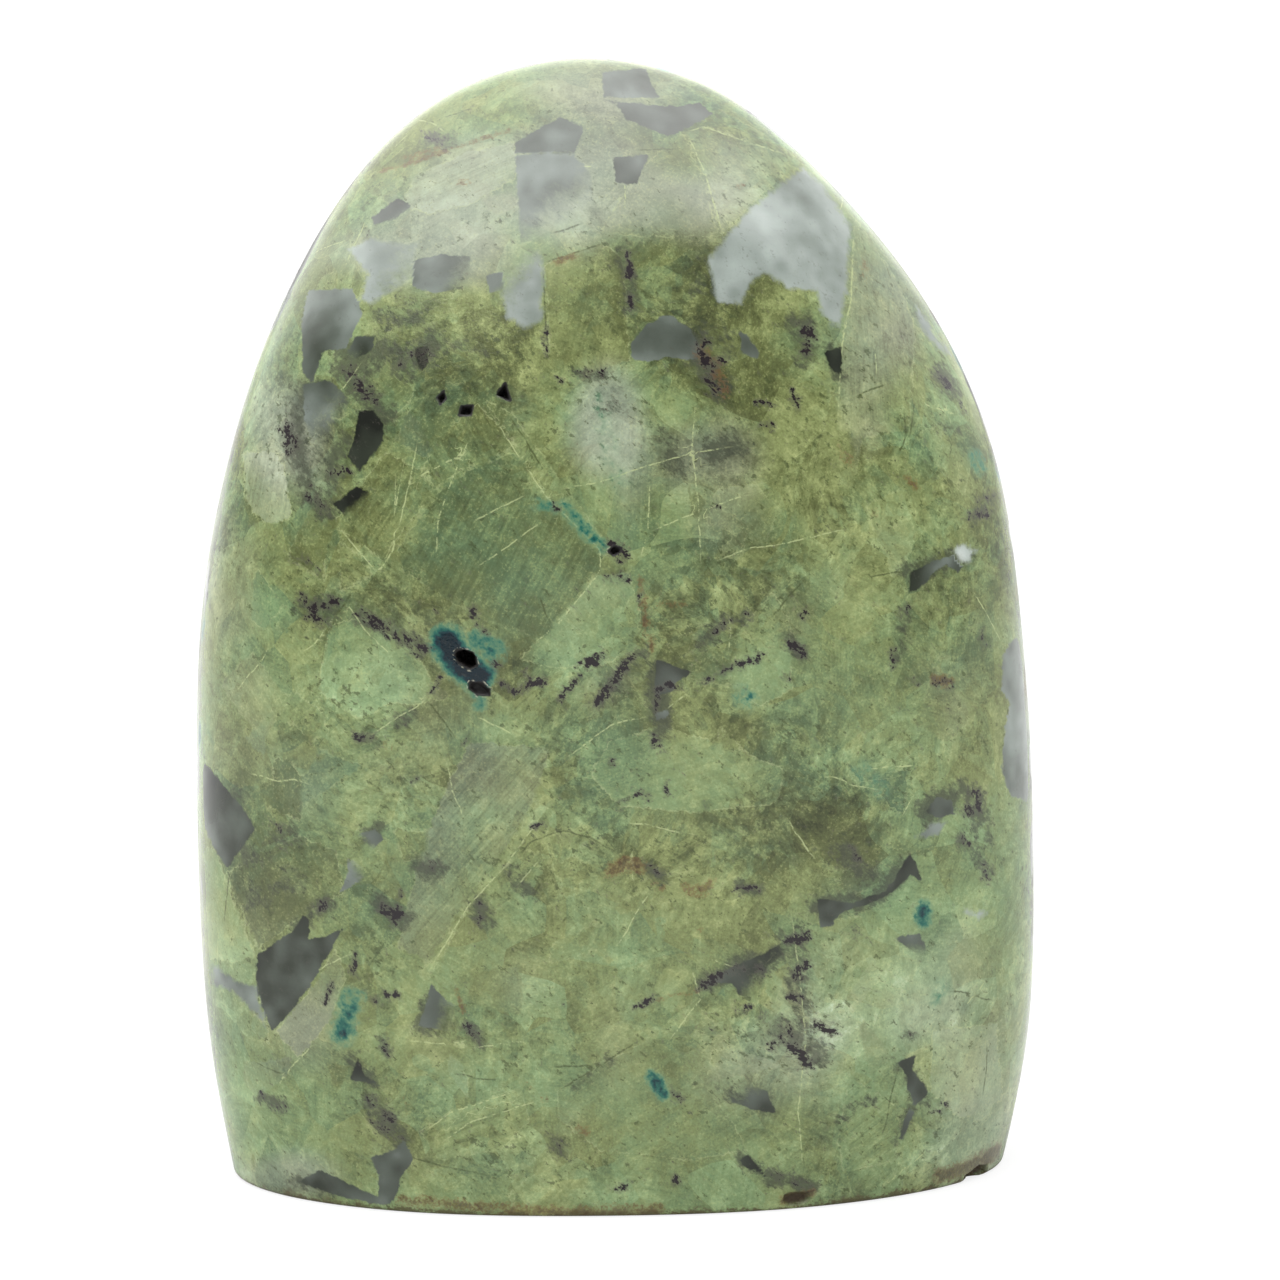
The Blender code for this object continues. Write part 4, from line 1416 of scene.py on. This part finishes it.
class Value:
    """A number on the board. Sums, differences and products of values add Math nodes."""

    def __init__(self, board: "Board", socket: Socket) -> None:
        """Wraps an output socket."""
        self.board = board
        self.socket = socket

    def __add__(self, other: "Value | float") -> "Value":
        """Adds."""
        return self.board.maths("ADD", self, other)

    def __radd__(self, other: float) -> "Value":
        """Adds to a number."""
        return self.board.maths("ADD", other, self)

    def __sub__(self, other: "Value | float") -> "Value":
        """Subtracts."""
        return self.board.maths("SUBTRACT", self, other)

    def __rsub__(self, other: float) -> "Value":
        """Subtracts from a number."""
        return self.board.maths("SUBTRACT", other, self)

    def __mul__(self, other: "Value | float") -> "Value":
        """Multiplies."""
        return self.board.maths("MULTIPLY", self, other)

    def __rmul__(self, other: float) -> "Value":
        """Multiplies a number."""
        return self.board.maths("MULTIPLY", other, self)

    def __abs__(self) -> "Value":
        """Drops the sign."""
        return self.board.maths("ABSOLUTE", self)


class Board:
    """The nodes of one material or world."""

    def __init__(self, tree: bpy.types.NodeTree) -> None:
        """Clears the tree and starts on it."""
        tree.nodes.clear()
        self.tree = tree

    def put(self, kind: str, settings: dict[str, object] | None = None,
            sockets: dict[str | int, object] | None = None) -> Node:
        """Adds a node.

        Args:
            kind: Blender's name for the type of node.
            settings: Settings by name; "stops" are the places and colours of a ramp.
            sockets: Values or links of the node's inputs, by name or number.

        Returns:
            The node.
        """
        node = self.tree.nodes.new(kind)
        for name, value in (settings or {}).items():
            if name == "stops":
                self.set_stops(node, value)
            else:
                setattr(node, name, value)
        for name, value in (sockets or {}).items():
            socket = node.inputs[name]
            if isinstance(value, Value):
                self.tree.links.new(value.socket, socket)
            elif isinstance(value, bpy.types.NodeSocket):
                self.tree.links.new(value, socket)
            else:
                socket.default_value = value
        return node

    def set_stops(self, node: Node, stops: Stops) -> None:
        """Gives a ramp its stops.

        Args:
            node: The ramp.
            stops: A place from 0 to 1 and a colour for each stop.
        """
        elements = node.color_ramp.elements
        for number, (place, colour) in enumerate(stops):
            stop = elements[number] if number < len(elements) else elements.new(place)
            stop.position = place
            stop.color = colour

    def maths(self, operation: str, *values: Value | float) -> Value:
        """Adds a Math node for an operation on values."""
        node = self.put("ShaderNodeMath", {"operation": operation}, dict(enumerate(values)))
        return Value(self, node.outputs[0])

    def step(self, value: Value, low: Value | float, high: Value | float) -> Value:
        """Runs softly from 0 where the value is low to 1 where it is high."""
        node = self.put("ShaderNodeMapRange", {"interpolation_type": "SMOOTHSTEP"},
                        {"Value": value, "From Min": low, "From Max": high})
        return Value(self, node.outputs[0])

    def mix(self, amount: Value, under: Value | float, over: Value | float) -> Value:
        """Mixes two numbers."""
        node = self.put("ShaderNodeMix", {"data_type": "FLOAT"},
                        {"Factor": amount, "A": under, "B": over})
        return Value(self, node.outputs[0])

    def blend(self, amount: Value | float, under: object, over: object, how: str = "MIX") -> Socket:
        """Mixes two colours.

        Args:
            amount: How much of the upper colour shows.
            under: The lower colour.
            over: The upper colour.
            how: Blender's name for the way of mixing.

        Returns:
            The mixed colour.
        """
        node = self.put("ShaderNodeMix", {"data_type": "RGBA", "blend_type": how},
                        {0: amount, 6: under, 7: over})
        return node.outputs[2]

    def ramp(self, value: Value, stops: Stops) -> Socket:
        """Turns a number into a colour."""
        node = self.put("ShaderNodeValToRGB", {"stops": stops}, {"Fac": value})
        return node.outputs["Color"]

    def vector(self, operation: str, first: object, second: object = None,
               scale: float | None = None) -> Socket:
        """Adds a Vector Math node.

        Args:
            operation: Blender's name for the operation.
            first: The first vector.
            second: The second vector, if the operation takes one.
            scale: The scale, if the operation takes one.

        Returns:
            The vector that comes out.
        """
        sockets: dict[str | int, object] = {0: first}
        if second is not None:
            sockets[1] = second
        if scale is not None:
            sockets["Scale"] = scale
        return self.put("ShaderNodeVectorMath", {"operation": operation}, sockets).outputs[0]

    def cloud(self, places: Socket, fineness: float, detail: float, roughness: float) -> Value:
        """Adds cloudy noise about 0, with so many waves to a millimetre."""
        node = self.put("ShaderNodeTexNoise", {}, {"Vector": places, "Scale": fineness,
                                                   "Detail": detail, "Roughness": roughness})
        return Value(self, node.outputs[0]) - 0.5

    def cells(self, places: Socket, fineness: float) -> tuple[Value, Value, Value]:
        """Adds angular cells, so many to a millimetre, with three random numbers for each."""
        node = self.put("ShaderNodeTexVoronoi", {}, {"Vector": places, "Scale": fineness})
        return self.parts(node.outputs["Color"])

    def layer(self, name: str) -> Value:
        """Reads a layer of single numbers that is drawn on the stone."""
        return Value(self, self.put("ShaderNodeAttribute", {"attribute_name": name}).outputs["Fac"])

    def layers(self, name: str) -> tuple[Value, Value, Value]:
        """Reads a layer of three numbers that is drawn on the stone."""
        node = self.put("ShaderNodeAttribute", {"attribute_name": name})
        return self.parts(node.outputs["Vector"])

    def parts(self, vector: Socket) -> tuple[Value, Value, Value]:
        """Takes a vector or a colour apart."""
        node = self.put("ShaderNodeSeparateXYZ", {}, {0: vector})
        return tuple(Value(self, socket) for socket in node.outputs)


@dataclass(frozen=True)
class Grain:
    """The random patterns that the parts of the finish share. Each is about 0."""

    mm: Socket
    bent: Socket
    sugar: Value
    ragged: Value
    torn: Value
    powder: Value


def slanted(board: Board, mm: Socket, turn: Value | float, stretch: tuple[float, float, float]) -> Socket:
    """Turns places about the axis from the front to the back, and stretches them.

    Args:
        board: The board of the material.
        mm: Places on the stone, in millimetres.
        turn: Angle, in radians.
        stretch: How many times finer the pattern becomes along each axis.

    Returns:
        The places for the pattern.
    """
    turned = board.put("ShaderNodeVectorRotate", {"rotation_type": "Y_AXIS"}, {"Vector": mm, "Angle": turn})
    return board.vector("MULTIPLY", turned.outputs[0], stretch)


def lay_grain(board: Board) -> Grain:
    """Lays the shared patterns on the board of a material."""
    place = board.put("ShaderNodeTexCoord").outputs["Object"]
    mm = board.vector("SCALE", place, scale=1 / MM)
    drift = board.put("ShaderNodeAttribute", {"attribute_name": "drift"}).outputs["Vector"]
    bent = board.vector("ADD", mm, drift)
    return Grain(mm, bent,
                 sugar=board.cloud(bent, 0.60, 4.0, 0.78),
                 ragged=board.cloud(mm, 1.3, 2.0, 0.65),
                 torn=board.cloud(slanted(board, mm, -0.7, (1.0, 1.0, 1.9)), 1.15, 3.0, 0.72),
                 powder=board.cloud(mm, 4.5, 1.0, 0.6))


@dataclass
class Coat:
    """The surface so far: its colour, its roughness and its relief."""

    colour: Socket
    roughness: Value
    relief: Value

    def cover(self, board: Board, amount: Value, colour: object, roughness: float) -> None:
        """Covers part of the surface with something else.

        Args:
            board: The board of the material.
            amount: How much is covered, from 0 to 1.
            colour: Colour of the cover.
            roughness: Roughness of the cover.
        """
        self.colour = board.blend(amount, self.colour, colour)
        self.roughness = board.mix(amount, self.roughness, roughness)


@dataclass(frozen=True)
class GreenFeldspar:
    """The body of the stone: crystals of sage green, mint and olive, sugary where they are fine."""

    olive: Stops = (
        (0.00, paint(50, 55, 31)),
        (0.28, paint(88, 95, 56)),
        (0.52, paint(123, 133, 84)),
        (0.76, paint(153, 163, 108)),
        (1.00, paint(194, 199, 150)),
    )
    mint: Stops = (
        (0.00, paint(47, 64, 45)),
        (0.28, paint(84, 106, 76)),
        (0.52, paint(118, 143, 100)),
        (0.76, paint(148, 173, 127)),
        (1.00, paint(188, 208, 169)),
    )
    grey: Colour = paint(146, 149, 138)
    greyer: Stops = (
        (0.0, (0.2, 0.2, 0.2, 1.0)), (0.5, (1.0, 1.0, 1.0, 1.0)), (1.0, (1.9, 1.9, 1.9, 1.0)))
    fleck: Colour = paint(176, 180, 120)
    edge: Colour = paint(182, 190, 140)
    dark_fleck: Colour = paint(58, 68, 40)
    smoke: Colour = paint(56, 60, 50)
    tone: float = 0.46
    mintiness: float = 0.40
    plate_fineness: float = 0.21
    plate_turns: float = 3.1
    plate_lines: float = 0.55
    line_stretch: tuple[float, float, float] = (0.12, 0.5, 2.6)
    grain_fineness: float = 1.1
    polished: float = 0.20

    def lay(self, board: Board, grain: Grain) -> Coat:
        """Lays the body.

        Args:
            board: The board of the material.
            grain: The shared patterns.

        Returns:
            The surface so far.
        """
        crystal_light, crystal_mint, crystal_grey = board.layers("crystal_look")
        crystal_turn, crystal_lines, crystal_edge = board.layers("crystal_lines")
        light, mint, grey = board.layers("tint")
        crust = board.layer("crust")
        border = board.layer("crystal") + grain.ragged * 0.9 + grain.torn * 0.4
        in_crystal = board.step(border, 0.12, -0.14)
        plate, plate_mint, plate_turn = board.cells(grain.bent, self.plate_fineness)
        turn = board.mix(in_crystal, plate_turn * self.plate_turns, crystal_turn)
        lines = board.cloud(slanted(board, grain.mm, turn, self.line_stretch), 1.0, 2.0, 0.68)
        line_share = board.mix(in_crystal, self.plate_lines, crystal_lines)
        outside = 1.0 - in_crystal
        cell, other, _ = board.cells(grain.bent, self.grain_fineness)

        tone = (self.tone + light * 0.24 + in_crystal * crystal_light * 0.32
                + grain.sugar * (0.60 + 0.70 * crust) * (1.0 - in_crystal * 0.35) + grain.powder * 0.24
                + lines * line_share * 0.50 + (cell - 0.5) * (0.05 + 0.10 * crust)
                + (plate - 0.5) * outside * 0.16)
        creases = board.step(abs(grain.sugar + grain.torn * 0.3), 0.030, 0.0)
        tone = tone - creases * 0.05
        minty = (self.mintiness + mint * 0.42 + in_crystal * crystal_mint * 0.5 - grain.torn * 0.6
                 + (other - 0.5) * (0.10 + 0.20 * crust) + (plate_mint - 0.5) * outside * 0.40)
        colour = board.blend(board.step(minty, 0.0, 1.0), board.ramp(tone, self.olive),
                             board.ramp(tone, self.mint))
        greyness = board.step(grey + in_crystal * crystal_grey, 0.05, 1.3)
        colour = board.blend(greyness * 0.62, colour,
                             board.blend(1.0, self.grey, board.ramp(tone, self.greyer), "MULTIPLY"))

        yellow = board.step(grain.powder + grain.sugar * 0.6, 0.10, 0.22)
        colour = board.blend(yellow * 0.16, colour, self.fleck)
        edges = board.step(abs(border), 0.10, 0.02) * board.step(grain.sugar, -0.10, 0.06) * crystal_edge
        colour = board.blend(edges * 0.8, colour, self.edge)
        dark = board.step(grain.torn + grain.ragged * 0.7 + crust * 0.08, 0.15, 0.27)
        colour = board.blend(dark * 0.65, colour, self.dark_fleck)
        smoke = board.step(board.layer("smoke") + grain.sugar * 1.9 + grain.torn * 1.4, 0.24, 0.84)
        colour = board.blend(smoke * 0.80, colour, self.smoke)
        return Coat(colour, self.polished + crust * 0.08, grain.powder * (0.25 + crust * 0.75))


@dataclass(frozen=True)
class ClearQuartz:
    """Windows of quartz, from smoky and clear to milky."""

    shades: Stops = (
        (0.00, paint(26, 28, 24)),
        (0.15, paint(48, 53, 44)),
        (0.35, paint(84, 91, 83)),
        (0.60, paint(128, 137, 130)),
        (0.85, paint(166, 175, 169)),
        (1.00, paint(198, 205, 200)),
    )
    polished: float = 0.10

    def lay(self, board: Board, grain: Grain, coat: Coat) -> None:
        """Lays the windows over the body.

        Args:
            board: The board of the material.
            grain: The shared patterns.
            coat: The surface so far.
        """
        milk, strength, veil = board.layers("quartz_look")
        milky = board.step(milk, 0.36, 0.66)
        uneven = grain.ragged * 0.5 + grain.torn * 0.4 + milky * (grain.sugar * 1.3 + 0.12)
        inside = board.step(board.layer("quartz") + uneven, 0.09 + milky * 0.16, -0.10 - milky * 0.30)
        covered = board.step(strength + grain.sugar * 0.8 + grain.torn * 0.5 - milky * 0.12, 0.10, 0.85)
        shade = board.ramp(milk + veil * 0.15 + grain.sugar * 0.10, self.shades)
        coat.cover(board, inside * covered, shade, self.polished)
        coat.relief = coat.relief * board.step(board.layer("quartz"), -0.15, 0.10)


@dataclass(frozen=True)
class Hairlines:
    """Healed cracks, pale, and open ones, dark."""

    pale: Colour = paint(182, 192, 140)
    dark: Colour = paint(62, 70, 40)

    def lay(self, board: Board, grain: Grain, coat: Coat) -> None:
        """Lays the hairlines.

        Args:
            board: The board of the material.
            grain: The shared patterns.
            coat: The surface so far.
        """
        healed, opened, _ = board.layers("vein_shown")
        away = abs(board.layer("vein") + grain.ragged * 0.25)
        broken = board.step(grain.torn, -0.10, 0.05)
        pale = board.step(away, 0.10, 0.02) * healed * broken * 0.65
        coat.colour = board.blend(pale, coat.colour, self.pale)
        dark = board.step(away, 0.13, 0.03) * opened * (0.4 + broken * 0.6) * 0.75
        coat.colour = board.blend(dark, coat.colour, self.dark)


@dataclass(frozen=True)
class Stains:
    """Black and purple flecks, teal copper stains and rust."""

    lean: float = -0.75
    stretch: tuple[float, float, float] = (0.85, 1.0, 1.45)
    black: Colour = paint(32, 27, 29)
    purple: Colour = paint(78, 76, 68)
    rust: Stops = (
        (0.0, paint(140, 120, 72)),
        (0.6, paint(112, 78, 44)),
        (1.0, paint(66, 42, 28)),
    )
    teal: Stops = (
        (0.0, paint(126, 150, 118)),
        (0.35, paint(86, 130, 102)),
        (0.60, paint(34, 92, 80)),
        (0.82, paint(8, 46, 52)),
        (1.0, paint(4, 24, 32)),
    )

    def lay(self, board: Board, grain: Grain, coat: Coat) -> None:
        """Lays the stains, and the flecks over them.

        Args:
            board: The board of the material.
            grain: The shared patterns.
            coat: The surface so far.
        """
        teal, rust, speck = board.layers("stain")
        reach = teal + (grain.ragged * 0.9 + grain.torn * 0.6) * board.step(teal, 0.0, 0.3)
        coat.cover(board, board.step(reach, 0.04, 0.60), board.ramp(reach, self.teal), 0.2)
        iron = rust + (grain.ragged * 1.2 + grain.powder * 1.1) * board.step(rust, 0.0, 0.3)
        coat.cover(board, board.step(iron, 0.25, 0.95) * 0.75, board.ramp(iron, self.rust), 0.3)
        fleck = board.cloud(slanted(board, grain.bent, self.lean, self.stretch), 1.05, 3.0, 0.76)
        ink = fleck * 1.1 + grain.powder * 0.36 + speck * 0.35
        coat.colour = board.blend(board.step(ink, 0.10, 0.34) * 0.60, coat.colour, self.purple)
        coat.cover(board, board.step(ink, 0.30, 0.37), self.black, 0.25)


@dataclass(frozen=True)
class RawPlacesAndPaintedLight:
    """Painted shade in the higher hollows and stain in the chips, a painted lip highlight, the brown rim,
    partly painted contact shade, and the sawn base.
    """

    # depth is painted shade: the near black that covers the insides of the higher hollows.
    depth: Colour = paint(20, 18, 16)
    chipped: Colour = paint(70, 58, 42)
    # A painted highlight: the pale colour of a broken line along the mouth of the teal-stained hollow.
    lip_highlight: Colour = paint(176, 172, 150)
    # The rim colour is partly the stain of the chipped rim and partly a painted contact shade along the
    # base.
    rim: Colour = paint(82, 70, 42)
    sawn: Colour = paint(148, 158, 128)

    def lay(self, board: Board, grain: Grain, coat: Coat) -> None:
        """Lays them over everything else.

        Args:
            board: The board of the material.
            grain: The shared patterns.
            coat: The surface so far.
        """
        # Painted shade: the hollows high on the stone are covered near black; the chips near the base get
        # the brown of a stained fracture face instead.
        hollow = board.layer("hollow") + grain.ragged * 0.5
        height = board.parts(grain.mm)[2]
        low = board.step(height, 4.0, 2.0)
        inside = board.blend(low, self.depth, self.chipped)
        coat.cover(board, board.step(hollow, 0.20, 0.04 - low * 0.60), inside, 0.6)
        teal = board.layers("stain")[0]
        # Painted highlight along the lip of the stained hollow, broken by the grain.
        lip_highlight = board.step(abs(hollow - 0.18), 0.08, 0.02) * board.step(grain.torn, -0.02, 0.10)
        coat.colour = board.blend(lip_highlight * board.step(teal, 0.1, 0.4) * 0.7, coat.colour, self.lip_highlight)

        # A dark brown band along the foot: partly stain of the chipped rim, partly painted contact shade.
        rim_stain_and_contact_shade = board.step(height + grain.powder + grain.sugar * 2.6, 0.60, 0.10)
        base = board.step(height, 0.02, 0.005)
        coat.cover(board, rim_stain_and_contact_shade * (1.0 - base) * 0.8, self.rim, 0.45)
        coat.colour = board.blend(base * 0.45, coat.colour, self.sawn)
        coat.roughness = board.mix(base, coat.roughness, 0.6 + grain.ragged * 0.2)


@dataclass(frozen=True)
class StoneFinish:
    """The finish of the whole stone."""

    body: GreenFeldspar = GreenFeldspar()
    windows: ClearQuartz = ClearQuartz()
    hairlines: Hairlines = Hairlines()
    stains: Stains = Stains()
    raw_places_and_painted_light: RawPlacesAndPaintedLight = RawPlacesAndPaintedLight()
    refraction: float = 1.53
    sheen: float = 0.30
    relief_depth: float = 0.00002

    def material(self) -> bpy.types.Material:
        """Makes the material.

        Returns:
            The material.
        """
        material = bpy.data.materials.new("polished_green_feldspar")
        material.use_nodes = True
        board = Board(material.node_tree)
        grain = lay_grain(board)
        coat = self.body.lay(board, grain)
        for part in (self.hairlines, self.windows, self.stains, self.raw_places_and_painted_light):
            part.lay(board, grain, coat)
        bump = board.put("ShaderNodeBump", {}, {"Distance": self.relief_depth, "Height": coat.relief})
        shader = board.put("ShaderNodeBsdfPrincipled", {}, {
            "Base Color": coat.colour, "Roughness": coat.roughness, "IOR": self.refraction,
            "Specular IOR Level": self.sheen, "Normal": bump.outputs[0]})
        board.put("ShaderNodeOutputMaterial", {}, {"Surface": shader.outputs[0]})
        return material


# The studio


@dataclass(frozen=True)
class Studio:
    """A pale floor in a light tent: what the polish mirrors is a ceiling light and dim walls."""

    floor_size: float = 12.0
    floor_gap: float = 0.00005
    floor_shade: float = 0.62
    floor_glow: float = 1.12
    glow_share: float = 0.72
    light_low: float = 0.72
    light_high: float = 0.28
    ceiling: float = 6.6
    wall_behind: float = 0.55
    wall_in_front: float = 0.15

    def build(self) -> None:
        """Builds the floor and the light."""
        self.lay_floor()
        self.light()

    def lay_floor(self) -> None:
        """Lays the floor, which isn't part of the stone."""
        half = self.floor_size / 2
        mesh = bpy.data.meshes.new("studio_floor")
        mesh.from_pydata([(-half, -half, 0), (half, -half, 0), (half, half, 0), (-half, half, 0)], [],
                         [(0, 1, 2, 3)])
        material = bpy.data.materials.new("studio_floor")
        material.use_nodes = True
        board = Board(material.node_tree)
        shade = (self.floor_shade,) * 3 + (1.0,)
        paper = board.put("ShaderNodeBsdfDiffuse", {}, {"Color": shade})
        glow = board.put("ShaderNodeEmission", {}, {"Color": (self.floor_glow,) * 3 + (1.0,)})
        seen = board.put("ShaderNodeLightPath").outputs["Is Camera Ray"]
        both = board.put("ShaderNodeMixShader", {}, {
            0: Value(board, seen) * self.glow_share, 1: paper.outputs[0], 2: glow.outputs[0]})
        board.put("ShaderNodeOutputMaterial", {}, {"Surface": both.outputs[0]})
        mesh.materials.append(material)
        floor = bpy.data.objects.new("studio_floor", mesh)
        floor.location.z = -self.floor_gap
        bpy.context.scene.collection.objects.link(floor)

    def light(self) -> None:
        """Lights the stone softly from all round, with a ceiling light for the polish to mirror."""
        world = bpy.data.worlds.new("light_tent")
        bpy.context.scene.world = world
        world.use_nodes = True
        board = Board(world.node_tree)
        side, back, up = board.parts(board.put("ShaderNodeTexCoord").outputs["Generated"])
        ray = board.put("ShaderNodeLightPath")
        soft = board.mix(board.step(up, -0.2, 1.0), self.light_low, self.light_high)
        # The ceiling light is a sheet with three straight edges, and it fades to the back and the right
        left_edge = board.step(side * 0.77 + back * 0.64 + up * 1.21, -0.12, 0.42)
        right_edge = board.step(back * 0.50 + up * 0.67 - side * 0.87, -0.06, 0.24)
        front_edge = board.step(back + up * 0.60, -0.06, 0.20)
        ceiling = left_edge * board.maths("MAXIMUM", right_edge, front_edge) * board.step(up, 0.0, 0.15)
        mirrored = board.mix(board.step(back, -0.75, 0.55), self.wall_in_front, self.wall_behind)
        fading = (1.0 - board.step(back, 0.0, 0.85) * 0.78) * (1.0 - board.step(side, 0.40, 0.85) * 0.85)
        mirrored = mirrored + ceiling * fading * self.ceiling
        strength = board.mix(Value(board, ray.outputs["Is Diffuse Ray"]), mirrored, soft)
        strength = board.mix(Value(board, ray.outputs["Is Camera Ray"]), strength, 1.0)
        tent = board.put("ShaderNodeBackground", {}, {"Color": (1.0, 1.0, 1.0, 1.0), "Strength": strength})
        board.put("ShaderNodeOutputWorld", {}, {"Surface": tent.outputs[0]})


def main() -> None:
    """Builds the stone and the studio round it."""
    logging.basicConfig(level=logging.INFO, format="%(message)s")
    stone = FeldsparStone()
    made = stone.build()
    triangles = sum(len(face.vertices) - 2 for face in made.data.polygons)
    LOG.info("%s: %d points, %d triangles", made.name, len(made.data.vertices), triangles)
    Studio().build()
    stone.camera.place()
    bpy.context.scene.view_settings.view_transform = "Standard"
    LOG.info("studio and camera")


if __name__ == "__main__":
    main()
